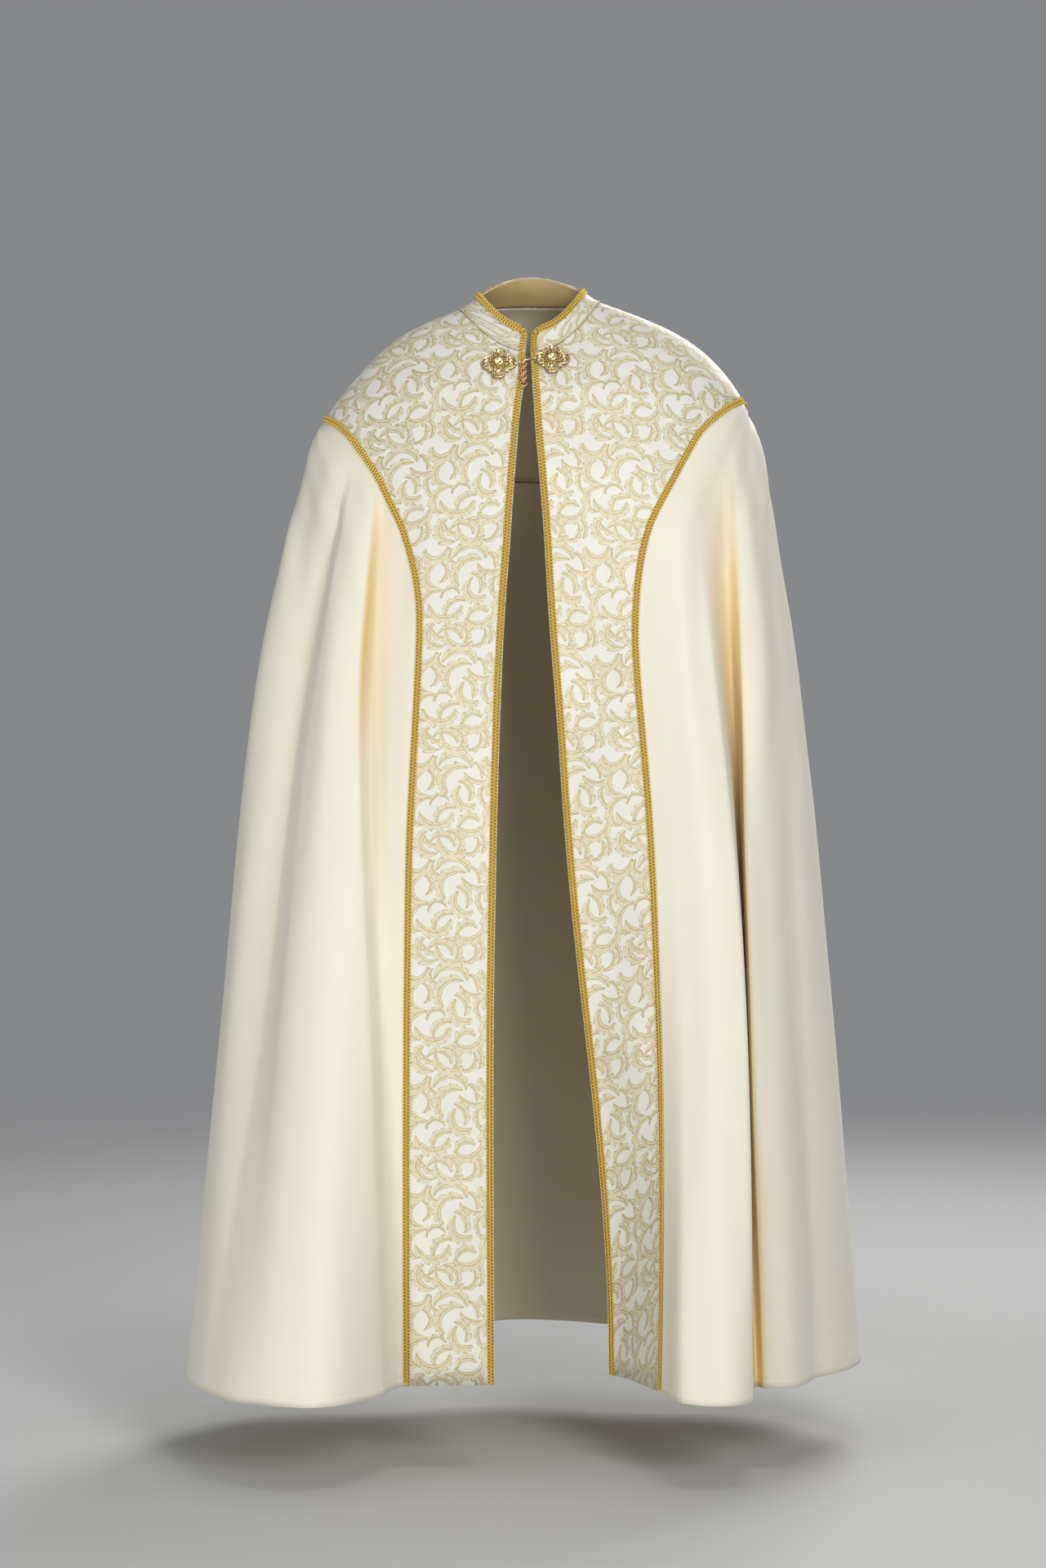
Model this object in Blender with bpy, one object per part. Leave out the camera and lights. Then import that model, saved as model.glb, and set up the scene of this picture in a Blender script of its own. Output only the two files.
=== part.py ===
"""A cope: a full-length cloak worn open at the front and fastened at the neck.

The cloak hangs in its worn pose and is empty inside. Every cloth piece is a panel of one shared
form. A point of the form is given by an angle round the body (0 at +X, 90 at the back, 180 at -X
and -90 or 270 at the front) and by the distance down the cloth from the neck seam. Left and right
are as seen from the front, which faces -Y. The origin is between the shoulders, at neck height.
"""
import math

import bmesh
import bpy
import numpy as np
from mathutils import Matrix, Vector

for old_object in list(bpy.data.objects):
    bpy.data.objects.remove(old_object, do_unlink=True)

# Driving sizes, in metres
WALL = 0.002
SEAM_GAP = 0.0003
BRAID_WIDTH = 0.010
BRAID_THICKNESS = 0.0016
FACING_WALL = 0.001
FACING_GAP = 0.0005
COLLAR_BASE_GAP = 0.0008
COLLAR_FLARE = 0.003
COLLAR_CORNER = 0.016
COLLAR_CORNER_DROP = 0.34
COLLAR_BRAID_GAP = 0.0008
SHOULDER_SEAM_ANGLES = (4.0, 176.0)
YOKE_DOWN = 0.228
HEM_DOWN = 1.496
FLUTE_COUNT = 5
FLUTE_DEPTH = 0.020

# Sections of the form from the neck seam to the hem: sides, front and back of each ring
SECTION_COLUMNS = ("down", "z_left", "x_left", "z_right", "x_right",
                   "z_front", "y_front", "z_back", "y_back", "square")
SECTIONS = (
    (0.000, 0.018, -0.091, 0.028, 0.092, -0.047, -0.082, 0.030, 0.064, 2.00),
    (0.070, -0.012, -0.160, 0.000, 0.165, -0.066, -0.099, 0.004, 0.098, 2.08),
    (0.140, -0.055, -0.212, -0.035, 0.225, -0.088, -0.113, -0.070, 0.128, 2.18),
    (0.228, -0.127, -0.268, -0.103, 0.281, -0.113, -0.125, -0.195, 0.152, 2.28),
    (0.370, -0.240, -0.305, -0.240, 0.316, -0.246, -0.162, -0.300, 0.170, 2.38),
    (0.543, -0.412, -0.345, -0.412, 0.343, -0.440, -0.181, -0.450, 0.192, 2.40),
    (0.716, -0.584, -0.372, -0.584, 0.366, -0.600, -0.193, -0.605, 0.213, 2.40),
    (0.975, -0.841, -0.396, -0.841, 0.393, -0.850, -0.217, -0.853, 0.250, 2.40),
    (1.234, -1.099, -0.421, -1.099, 0.415, -1.103, -0.252, -1.105, 0.290, 2.40),
    (1.496, -1.367, -0.448, -1.366, 0.439, -1.361, -0.300, -1.362, 0.330, 2.40),
)

# Rim of the collar, in the same terms
COLLAR_RIM = {"z_left": 0.040, "x_left": -0.065, "z_right": 0.045, "x_right": 0.070,
              "z_front": -0.012, "y_front": -0.070, "z_back": 0.068, "y_back": 0.047,
              "square": 2.0}

# Seam lines of the front as seen from the front: height and x
EDGE_RIGHT = ((-0.030, 0.0012), (-0.085, 0.0033), (-0.113, 0.0053), (-0.153, 0.0076),
              (-0.183, 0.0102), (-0.222, 0.0134), (-0.261, 0.0165), (-0.330, 0.0208),
              (-0.398, 0.0250), (-0.513, 0.0340), (-0.624, 0.0415), (-0.708, 0.0480),
              (-0.791, 0.0560), (-0.874, 0.0650), (-0.957, 0.0745), (-1.062, 0.0855),
              (-1.138, 0.0922), (-1.239, 0.0988), (-1.370, 0.1015))
EDGE_LEFT = ((-0.030, -0.0050), (-0.080, -0.0056), (-0.108, -0.0090), (-0.147, -0.0133),
             (-0.190, -0.0166), (-0.232, -0.0199), (-0.289, -0.0237), (-0.397, -0.0314),
             (-0.502, -0.0362), (-0.584, -0.0388), (-0.749, -0.0426), (-0.872, -0.0445),
             (-1.160, -0.0447), (-1.370, -0.0436))
SEAM_RIGHT = ((-0.103, 0.2810), (-0.114, 0.2625), (-0.127, 0.2454), (-0.140, 0.2306),
              (-0.153, 0.2190), (-0.170, 0.2085), (-0.192, 0.1963), (-0.236, 0.1728),
              (-0.271, 0.1552), (-0.300, 0.1462), (-0.335, 0.1396), (-0.377, 0.1354),
              (-0.419, 0.1343), (-0.460, 0.1362), (-0.543, 0.1430), (-0.626, 0.1498),
              (-0.790, 0.1582), (-0.953, 0.1640), (-1.100, 0.1660), (-1.370, 0.1622))
SEAM_LEFT = ((-0.127, -0.2680), (-0.140, -0.2486), (-0.153, -0.2345), (-0.173, -0.2193),
             (-0.192, -0.2061), (-0.228, -0.1860), (-0.251, -0.1751), (-0.273, -0.1645),
             (-0.308, -0.1526), (-0.336, -0.1454), (-0.363, -0.1412), (-0.394, -0.1391),
             (-0.431, -0.1396), (-0.543, -0.1447), (-0.667, -0.1507), (-0.800, -0.1532),
             (-0.955, -0.1545), (-1.370, -0.1542))

# Lines of the largest folds: angle at the yoke, half way and at the hem, and y at five heights.
# A line without a y keeps the section's own y.
FOLD_DOWNS = (0.33, 0.45, 0.70, 0.98, 1.23, 1.496)
FOLD_COLUMNS = ("name", "top", "middle", "hem", "y_chest", "y_elbow", "y_hand", "y_knee", "y_hem")
FOLDS = (
    ("left edge before the turn", -98.0, -97.0, -97.0, -0.163, -0.176, -0.188, -0.193, -0.197),
    ("right edge", -86.0, -83.0, -77.0, -0.161, -0.169, -0.164, -0.151, -0.120),
    ("right seam", -67.0, -67.0, -68.5, -0.157, -0.184, -0.206, -0.216, -0.243),
    ("right ridge start", -62.0, -62.0, -65.0, -0.159, -0.193, -0.229, -0.266, -0.322),
    ("right ridge", -56.5, -55.5, -57.5, -0.158, -0.201, -0.243, -0.283, -0.333),
    ("right ridge edge", -52.5, -49.5, -53.3, -0.149, -0.192, -0.236, -0.272, -0.305),
    ("right valley", -46.0, -48.5, -51.8, -0.120, -0.108, -0.122, -0.158, -0.194),
    ("right flank edge", -41.0, -47.5, -50.2, -0.126, -0.150, -0.184, -0.195, -0.205),
    ("right flank", -35.0, -42.0, -44.5, -0.115, -0.142, -0.170, -0.190, -0.200),
    ("right flank dip", -28.0, -31.0, -36.5, -0.090, -0.098, -0.108, -0.118, -0.120),
    ("right side", -10.0, -12.0, -14.0, -0.034, -0.040, -0.034, -0.028, -0.007),
    ("right back", 20.0, 20.0, 20.0, None, None, None, None, None),
    ("left side", 198.0, 196.0, 194.0, None, None, -0.062, -0.072, -0.100),
    ("left flank dip", 222.0, 218.0, 209.0, -0.098, -0.107, -0.124, -0.150, -0.205),
    ("left bulge start", 225.5, 224.0, 222.0, -0.129, -0.148, -0.178, -0.220, -0.303),
    ("left bulge", 228.5, 231.0, 233.5, -0.145, -0.176, -0.215, -0.265, -0.343),
    ("left ridge edge", 231.5, 240.0, 246.2, -0.150, -0.181, -0.210, -0.232, -0.268),
    ("left valley", 234.5, 242.3, 248.3, -0.139, -0.146, -0.186, -0.199, -0.226),
    ("left strip", 238.5, 244.8, 249.6, -0.147, -0.166, -0.187, -0.195, -0.209),
    ("left seam", 245.0, 247.6, 251.2, -0.157, -0.176, -0.190, -0.195, -0.201),
    ("left edge", 262.0, 263.0, 263.0, -0.163, -0.176, -0.188, -0.193, -0.197),
    ("right edge after the turn", 274.0, 277.0, 283.0, -0.161, -0.169, -0.164, -0.151, -0.120),
)

# Rows and columns of the panels
YOKE_ROWS = (0.0, 0.022, 0.050, 0.085, 0.120, 0.155, 0.190, 0.228)
LOWER_ROWS = (0.228, 0.2285, 0.230, 0.2325, 0.236, 0.240, 0.245, 0.252, 0.262, 0.275, 0.292, 0.315,
              0.345, 0.370, 0.395, 0.425, 0.470, 0.530, 0.610, 0.700, 0.800, 0.920, 1.040, 1.160, 1.280,
              1.390, 1.496)
FRONT_INNER_COLUMNS = 4
YOKE_BACK_COLUMNS = 14
YOKE_BRAID_COLUMNS = 44
SEAM_BRAID_START = 0.2298
MANTLE_STEPS_RIGHT = (("right ridge start", 1), ("right ridge", 2), ("right ridge edge", 1),
                      ("right valley", 2), ("right flank edge", 2), ("right flank", 1),
                      ("right flank dip", 2), ("right side", 2), ("right back", 2))
MANTLE_STEPS_LEFT = (("left strip", 1), ("left valley", 1), ("left ridge edge", 1),
                     ("left bulge", 2), ("left bulge start", 2), ("left flank dip", 2), ("left side", 2))
MANTLE_BACK_COLUMNS = 22
COLUMN_MARGIN = 1.0
MANTLE_TOP = 0.2289
BRAID_COLUMN = BRAID_WIDTH / 2 + 0.0003
SEAM_BRAID_GAP = 0.0009

# Clasp: two pierced plates, a hook across the front opening and a chain that hangs from the hook
PLATE_PLACES = {"left": (-104.3, 0.077), "right": (-79.3, 0.055)}
PLATE_LOBE_CENTRE = 0.0142
PLATE_LOBE_RADIUS = 0.0090
PLATE_WAIST = 0.0150
PLATE_TIP = 0.0195
PLATE_TIP_SLOPE = 0.030
PLATE_LIFTS = {"left": 0.0014, "right": 0.0023}
HOOK_BOW = 0.0042
HOOK_END_GAP = 0.0009
PLATE_SECTORS = 40
PLATE_PROFILE = ((0.15, 0.0034), (0.26, 0.0048), (0.33, 0.0023), (0.48, 0.0030), (0.84, 0.0019),
                 (0.92, 0.0028), (1.00, 0.0021))
HOOK_RADIUS = 0.0010
LINK_COUNT = 7
LINK_WIRE = 0.0009
LINK_HOLE_LENGTH = 0.0056
LINK_HOLE_WIDTH = 0.0034
CHAIN_LEAN = 34.0
CHAIN_CLEARANCE = 0.00035
END_RING_RADIUS = 0.0042
END_RING_WIRE = 0.0006


def spline(knots, values, where):
    """Return the natural cubic curve through the knots at the given places."""
    knots, values = np.asarray(knots, float), np.asarray(values, float)
    where = np.clip(np.asarray(where, float), knots[0], knots[-1])
    step = np.diff(knots)
    slope = np.diff(values) / step
    count = len(knots)
    system, right = np.eye(count), np.zeros(count)
    for row in range(1, count - 1):
        system[row, row - 1:row + 2] = step[row - 1], 2 * (step[row - 1] + step[row]), step[row]
        right[row] = 6 * (slope[row] - slope[row - 1])
    bend = np.linalg.solve(system, right)
    index = np.clip(np.searchsorted(knots, where) - 1, 0, count - 2)
    width, along = step[index], where - knots[index]
    back = width - along
    return ((bend[index] * back ** 3 + bend[index + 1] * along ** 3) / (6 * width)
            + (values[index] / width - bend[index] * width / 6) * back
            + (values[index + 1] / width - bend[index + 1] * width / 6) * along)


def monotone(knots, values, where):
    """Return a smooth curve through the knots that never overshoots them."""
    knots, values = np.asarray(knots, float), np.asarray(values, float)
    where = np.clip(np.asarray(where, float), knots[0], knots[-1])
    step = np.diff(knots)
    slope = np.diff(values) / step
    tangent = np.concatenate(([slope[0]], np.zeros(len(knots) - 2), [slope[-1]]))
    for row in range(1, len(knots) - 1):
        before, after = slope[row - 1], slope[row]
        if before * after > 0:
            first, second = 2 * step[row] + step[row - 1], step[row] + 2 * step[row - 1]
            tangent[row] = (first + second) / (first / before + second / after)
    index = np.clip(np.searchsorted(knots, where) - 1, 0, len(knots) - 2)
    width = step[index]
    t = (where - knots[index]) / width
    return ((2 * t ** 3 - 3 * t ** 2 + 1) * values[index] + (t ** 3 - 2 * t ** 2 + t) * width * tangent[index]
            + (3 * t ** 2 - 2 * t ** 3) * values[index + 1] + (t ** 3 - t ** 2) * width * tangent[index + 1])


def section_at(down):
    """Return the section's sizes at a distance down the cloth."""
    table = list(zip(*SECTIONS))
    return {name: float(spline(table[0], table[column], down))
            for column, name in enumerate(SECTION_COLUMNS) if column}


def ring_points(section, degrees):
    """Return the points of one plain ring at the given angles."""
    angle = np.radians(np.asarray(degrees, float))
    c, s = np.cos(angle), np.sin(angle)
    power = section["square"]
    reach = (np.abs(c) ** power + np.abs(s) ** power) ** (-1 / power)
    x = (section["x_right"] + section["x_left"]) / 2 + (section["x_right"] - section["x_left"]) / 2 * reach * c
    y = np.where(s > 0, section["y_back"], -section["y_front"]) * reach * s
    z_side = section["z_left"] + (section["z_right"] - section["z_left"]) * (1 + c) / 2
    z = z_side + (np.where(s > 0, section["z_back"], section["z_front"]) - z_side) * s * s
    return np.stack((x, y, z), axis=-1)


def fold_angle(row, down):
    """Return the angle of one fold line at a distance down the cloth."""
    return float(monotone((YOKE_DOWN, 0.9, HEM_DOWN), row[1:4], down))


def fold_pushes(row):
    """Return how far one fold line moves the plain ring in y at each of the fold heights."""
    pushes = [0.0]
    for level, wanted in zip(FOLD_DOWNS[1:], row[4:]):
        own = float(ring_points(section_at(level), fold_angle(row, level))[1])
        pushes.append(0.0 if wanted is None else wanted - own)
    return pushes


FOLD_PUSHES = [fold_pushes(row) for row in FOLDS]


def fold_lines(down):
    """Return the plain section with the folds' angles and pushes at a distance down the cloth."""
    angles = [fold_angle(row, down) for row in FOLDS]
    pushes = [float(spline(FOLD_DOWNS, steps, down)) if down > FOLD_DOWNS[0] else 0.0
              for steps in FOLD_PUSHES]
    return section_at(down), np.array(angles), np.array(pushes)


FORM_CACHE = {}


def form_points(down, degrees):
    """Return points on the outside of the cloth at one distance down and many angles."""
    key = round(down, 6)
    if key not in FORM_CACHE:
        FORM_CACHE[key] = fold_lines(down)
    section, angles, pushes = FORM_CACHE[key]
    degrees = np.asarray(degrees, float)
    points = ring_points(section, degrees)
    turned = np.where(degrees < angles[0], degrees + 360, degrees)
    points[..., 1] += monotone(angles, pushes, turned)
    fade = np.clip((down - YOKE_DOWN) / (HEM_DOWN - YOKE_DOWN), 0, 1)
    window = np.clip(np.sin(np.radians(degrees)), 0, 1) ** 0.7
    flutes = FLUTE_DEPTH * fade * window * np.cos(np.radians((degrees - 90) * 2 * FLUTE_COUNT * 0.8))
    points[..., 1] += flutes
    return points


def form_normals(down, degrees):
    """Return the outward directions of the cloth at one distance down."""
    degrees = np.asarray(degrees, float)
    low, high = max(down - 0.002, 0.0), min(down + 0.002, HEM_DOWN)
    downward = form_points(high, degrees) - form_points(low, degrees)
    around = form_points(down, degrees + 0.2) - form_points(down, degrees - 0.2)
    normal = np.cross(downward, around)
    return normal / np.linalg.norm(normal, axis=-1, keepdims=True)


def line_angle(down, line, low, high):
    """Return the angle at which a ring crosses a line that is given by height and x."""
    heights, places = [-z for z, _ in line], [x for _, x in line]

    def miss(degrees):
        point = form_points(down, degrees)
        return float(point[0] - spline(heights, places, -point[2]))

    rising = miss(high) > miss(low)
    for _ in range(26):
        middle = (low + high) / 2
        if (miss(middle) > 0) == rising:
            high = middle
        else:
            low = middle
    return (low + high) / 2


def stretch_per_degree(down, degrees):
    """Return the length of one degree along the ring."""
    around = form_points(down, degrees + 0.2) - form_points(down, degrees - 0.2)
    return float(np.linalg.norm(around)) / 0.4


def shift_angle(down, degrees, distance):
    """Return the angle a given distance along the ring away."""
    for _ in range(12):
        per_degree = stretch_per_degree(down, degrees)
        if abs(distance) <= per_degree:
            break
        degrees += math.copysign(1.0, distance)
        distance -= math.copysign(per_degree, distance)
    return degrees + distance / per_degree


def edge_angles(down):
    """Return the angles of the two front edges."""
    return line_angle(down, EDGE_RIGHT, -95.0, -55.0), line_angle(down, EDGE_LEFT, 250.0, 275.0)


def seam_angles(down):
    """Return the angles of the outer seams of the two front panels."""
    if down <= YOKE_DOWN:
        return SHOULDER_SEAM_ANGLES
    return line_angle(down, SEAM_RIGHT, -82.0, 8.0), line_angle(down, SEAM_LEFT, 172.0, 258.0)


def seam_stretch(down, column):
    """Return how much longer a distance across the seam becomes when it is measured along the ring."""
    if down <= YOKE_DOWN:
        return 1.0
    low, high = max(down - 0.0004, YOKE_DOWN + 0.0001), down + 0.0004
    turn = (seam_angles(high)[column] - seam_angles(low)[column]) / (high - low)
    return math.hypot(1.0, turn * stretch_per_degree(down, seam_angles(down)[column]))


def beside_seam(down, column, distance, limit=30.0):
    """Return the angle at a given distance from a seam line, measured square to the seam."""
    return shift_angle(down, seam_angles(down)[column], distance * min(seam_stretch(down, column), limit))


def beside_seam_place(down, column, distance):
    """Return the distance down and the angle of a point beside a seam line, square to the seam."""
    low, high = max(down - 0.0006, YOKE_DOWN + 0.0001), down + 0.0006
    angle = seam_angles(down)[column]
    per_degree = stretch_per_degree(down, angle)
    along = (seam_angles(high)[column] - seam_angles(low)[column]) * per_degree
    length = math.hypot(along, high - low)
    return down - distance * along / length, angle + distance * (high - low) / length / per_degree


def new_material(name, colour, roughness, metallic=0.0):
    """Return a material with one plain surface."""
    material = bpy.data.materials.new(name)
    material.use_nodes = True
    surface = material.node_tree.nodes["Principled BSDF"]
    surface.inputs["Base Color"].default_value = (*colour, 1.0)
    surface.inputs["Roughness"].default_value = roughness
    surface.inputs["Metallic"].default_value = metallic
    material.diffuse_color = (*colour, 1.0)
    return material


MANTLE_CLOTH = new_material("ivory_wool", (0.82, 0.75, 0.60), 0.62)
BROCADE = new_material("ivory_brocade", (0.80, 0.74, 0.58), 0.45)
FACING_CLOTH = new_material("tan_satin", (0.55, 0.40, 0.18), 0.55)
GOLD_BRAID = new_material("gold_braid", (0.80, 0.52, 0.10), 0.38, 0.6)
GOLD_METAL = new_material("gold_metal", (0.83, 0.60, 0.20), 0.25, 1.0)


def add_object(name, mesh_builder, material, smooth_angle=40.0):
    """Turn a bmesh into a named object with its material."""
    mesh = bpy.data.meshes.new(name)
    mesh_builder.to_mesh(mesh)
    mesh_builder.free()
    mesh.materials.append(material)
    mesh.shade_smooth()
    mesh.set_sharp_from_angle(angle=math.radians(smooth_angle))
    result = bpy.data.objects.new(name, mesh)
    bpy.context.scene.collection.objects.link(result)
    return result


def add_grid_solid(name, outer, inner, material):
    """Make a closed wall between two grids of points that match one to one.

    Args:
        name: the object's name.
        outer: rows of points on the outside, from the top down, with rising angles.
        inner: rows of points on the inside.
        material: the object's material.
    """
    builder = bmesh.new()
    grids = [[[builder.verts.new(point) for point in row] for row in grid] for grid in (outer, inner)]
    rows, columns = len(outer), len(outer[0])
    for flip, grid in enumerate(grids):
        for row in range(rows - 1):
            for column in range(columns - 1):
                a, b = grid[row][column], grid[row + 1][column]
                c, d = grid[row + 1][column + 1], grid[row][column + 1]
                for corners in ((a, b, c), (a, c, d)):
                    builder.faces.new(corners[::-1] if flip else corners)
    rim = [(0, column) for column in range(columns)]
    rim += [(row, columns - 1) for row in range(1, rows)]
    rim += [(rows - 1, column) for column in range(columns - 2, -1, -1)]
    rim += [(row, 0) for row in range(rows - 2, 0, -1)]
    for (row, column), (next_row, next_column) in zip(rim, rim[1:] + rim[:1]):
        builder.faces.new((grids[0][row][column], grids[0][next_row][next_column],
                           grids[1][next_row][next_column], grids[1][row][column]))
    bmesh.ops.triangulate(builder, faces=[face for face in builder.faces if len(face.verts) > 3])
    bmesh.ops.recalc_face_normals(builder, faces=list(builder.faces))
    return add_object(name, builder, material)


def add_panel(name, rows, high, low, material):
    """Make a panel that follows the form.

    Args:
        name: the object's name.
        rows: pairs of the distance down and the angles of the row's columns.
        high: how far the outer face lies outside the form.
        low: how far the inner face lies outside the form.
        material: the object's material.
    """
    outer, inner = [], []
    for down, degrees in rows:
        points, normals = form_points(down, degrees), form_normals(down, degrees)
        outer.append(points + normals * high)
        inner.append(points + normals * low)
    return add_grid_solid(name, outer, inner, material)


def front_row(down, side):
    """Return the column angles of a front panel at one height, from low to high."""
    right_edge, left_edge = edge_angles(down)
    if side == "right":
        ends = [right_edge, shift_angle(down, right_edge, BRAID_WIDTH)]
        outer = [beside_seam(down, 0, -BRAID_COLUMN, 3.0), beside_seam(down, 0, -SEAM_GAP / 2)]
        outer[0] = min(outer[0], outer[1] - 1.0)
        inner = np.linspace(ends[1], outer[0], FRONT_INNER_COLUMNS + 1)[1:-1]
        return [*ends, *inner, *outer]
    ends = [shift_angle(down, left_edge, -BRAID_WIDTH), left_edge]
    outer = [beside_seam(down, 1, SEAM_GAP / 2), beside_seam(down, 1, BRAID_COLUMN, 3.0)]
    outer[1] = max(outer[1], outer[0] + 1.0)
    inner = np.linspace(outer[1], ends[0], FRONT_INNER_COLUMNS + 1)[1:-1]
    return [*outer, *inner, *ends]


def mantle_row(down):
    """Return the column angles of the mantle at one height."""
    _, angles, _ = fold_lines(down)
    line = {row[0]: angle for row, angle in zip(FOLDS, angles)}
    start = [beside_seam(down, 0, SEAM_GAP / 2), beside_seam(down, 0, BRAID_COLUMN, 3.0)]
    finish = [beside_seam(down, 1, -BRAID_COLUMN, 3.0), beside_seam(down, 1, -SEAM_GAP / 2)]
    start[1], finish[0] = max(start[1], start[0] + 1.0), min(finish[0], finish[1] - 1.0)
    right, previous = [], line["right seam"] + 1.0
    for name, count in MANTLE_STEPS_RIGHT:
        right += list(np.linspace(previous, line[name], count + 1)[1:])
        previous = line[name]
    left, previous = [], line["left seam"]
    for name, count in MANTLE_STEPS_LEFT:
        left += list(np.linspace(previous, line[name], count + 1)[1:])
        previous = line[name]
    right = [max(angle, start[1] + COLUMN_MARGIN * (step + 1)) for step, angle in enumerate(right)]
    left = [min(angle, finish[0] - COLUMN_MARGIN * (step + 1)) for step, angle in enumerate(left)]
    back = list(np.linspace(right[-1], left[-1], MANTLE_BACK_COLUMNS + 1)[1:-1])
    return [*start, *right, *back, *left[::-1], *finish]


def back_yoke_row(down, gap):
    """Return the column angles of the back yoke at one height."""
    first, last = SHOULDER_SEAM_ANGLES
    inner = np.linspace(first, last, YOKE_BACK_COLUMNS + 1)[1:-1]
    return [shift_angle(down, first, gap / 2), *inner, shift_angle(down, last, -gap / 2)]


def trimmed(rows, first=0.0, last=0.0):
    """Return the rows with the top one lowered and the bottom one raised by a little."""
    result = list(rows)
    result[0] += first
    result[-1] -= last
    return result


# Cloth panels on the form
BRAID_LOW, BRAID_HIGH = SEAM_GAP, SEAM_GAP + BRAID_THICKNESS
FRONT_ROWS = (*YOKE_ROWS, *LOWER_ROWS[1:])
for side in ("left", "right"):
    add_panel("orphrey_" + side, [(down, front_row(down, side)) for down in FRONT_ROWS],
              0.0, -WALL, BROCADE)
add_panel("yoke_back", [(down, back_yoke_row(down, SEAM_GAP)) for down in trimmed(YOKE_ROWS, 0.0, SEAM_GAP)],
          0.0, -WALL, BROCADE)
add_panel("mantle", [(down, mantle_row(down)) for down in (MANTLE_TOP, *LOWER_ROWS[2:])],
          0.0, -WALL, MANTLE_CLOTH)

# Braids on the front edges and on the seams
BRAID_ROWS = trimmed(FRONT_ROWS, 0.0015, 0.0)
add_panel("braid_edge_right", [(down, front_row(down, "right")[:2]) for down in BRAID_ROWS],
          BRAID_HIGH, BRAID_LOW, GOLD_BRAID)
add_panel("braid_edge_left", [(down, front_row(down, "left")[-2:]) for down in BRAID_ROWS],
          BRAID_HIGH, BRAID_LOW, GOLD_BRAID)


def collar_height(edge_distance):
    """Return the share of the collar's height that is left near its rounded front corners."""
    near = np.clip(edge_distance / COLLAR_CORNER, 0, 1)
    return 1 - COLLAR_CORNER_DROP * (1 - near) ** 2


def collar_points(degrees, up):
    """Return points on the outside of the collar, with up from 0 at its base to 1 at its rim."""
    degrees, up = np.broadcast_arrays(np.asarray(degrees, float), np.asarray(up, float))
    base, rim = ring_points(section_at(0.0), degrees), ring_points(COLLAR_RIM, degrees)
    right_edge, left_edge = edge_angles(0.0)
    distance = np.minimum(degrees - right_edge, left_edge - degrees) * math.radians(1) * 0.082
    share = (up * collar_height(distance))[..., None]
    base = base + np.array((0, 0, COLLAR_BASE_GAP))
    outward = base * np.array((1, 1, 0))
    outward /= np.linalg.norm(outward, axis=-1, keepdims=True)
    return base * (1 - share) + rim * share - outward * COLLAR_FLARE * np.sin(math.pi * share)


def collar_normals(degrees, up):
    """Return the outward directions of the collar."""
    degrees, up = np.broadcast_arrays(np.asarray(degrees, float), np.asarray(up, float))
    around = collar_points(degrees + 0.5, up) - collar_points(degrees - 0.5, up)
    rising = collar_points(degrees, up + 0.02) - collar_points(degrees, up - 0.02)
    normal = np.cross(around, rising)
    return normal / np.linalg.norm(normal, axis=-1, keepdims=True)


def add_collar_piece(name, places, high, low, material):
    """Make a wall on the collar from rows of angle and height places."""
    outer, inner = [], []
    for row in places:
        degrees, up = np.array([place[0] for place in row]), np.array([place[1] for place in row])
        points, normals = collar_points(degrees, up), collar_normals(degrees, up)
        outer.append(points + normals * high)
        inner.append(points + normals * low)
    return add_grid_solid(name, outer, inner, material)


# Collar, its facing and the braid along its front corners and rim
NECK_ANGLES = [*front_row(0.0, "right")[:-1], *back_yoke_row(0.0, 0.0), *front_row(0.0, "left")[1:]]
COLLAR_LEVELS = (1.0, 0.72, 0.45, 0.2, 0.0)
add_collar_piece("collar", [[(angle, up) for angle in NECK_ANGLES] for up in COLLAR_LEVELS],
                 0.0, -WALL, BROCADE)
add_collar_piece("collar_facing", [[(angle, up) for angle in NECK_ANGLES] for up in (0.98, *COLLAR_LEVELS[1:-1], 0.05)],
                 -WALL - FACING_GAP, -WALL - FACING_GAP - FACING_WALL, FACING_CLOTH)


def rim_band(degrees):
    """Return how much of the collar's height the braid covers at one angle."""
    base, rim = collar_points(degrees, 0.0), collar_points(degrees, 1.0)
    return BRAID_WIDTH / float(np.linalg.norm(rim - base))


collar_outer = [(NECK_ANGLES[0], up) for up in (0.06, 0.2, 0.45, 0.72, 1.0)]
collar_inner = [(NECK_ANGLES[1], up) for up in (0.06, 0.2, 0.45, 0.58, 0.67)]
collar_outer += [(angle, 1.0) for angle in NECK_ANGLES[1:-1]]
collar_inner += [(angle, 1 - rim_band(angle)) for angle in NECK_ANGLES[1:-1]]
collar_outer += [(NECK_ANGLES[-1], up) for up in (1.0, 0.72, 0.45, 0.2, 0.06)]
collar_inner += [(NECK_ANGLES[-2], up) for up in (0.67, 0.58, 0.45, 0.2, 0.06)]
add_collar_piece("braid_collar", [collar_outer, collar_inner], COLLAR_BRAID_GAP + BRAID_THICKNESS,
                 COLLAR_BRAID_GAP, GOLD_BRAID)

# Braids on the seams between the front panels and the mantle
SEAM_DOWNS = (SEAM_BRAID_START, *LOWER_ROWS[3:])
for side, column in (("right", 0), ("left", 1)):
    outer, inner = [], []
    for down in SEAM_DOWNS:
        places = [beside_seam_place(down, column, across * BRAID_WIDTH / 2) for across in (-1, 0, 1)]
        places = [(min(place_down, HEM_DOWN), degrees) for place_down, degrees in places]
        points = np.array([form_points(*place) for place in places])
        normals = np.array([form_normals(*place) for place in places])
        outer.append(points + normals * (SEAM_BRAID_GAP + BRAID_THICKNESS))
        inner.append(points + normals * SEAM_BRAID_GAP)
    add_grid_solid("braid_seam_" + side, outer, inner, GOLD_BRAID)

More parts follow.
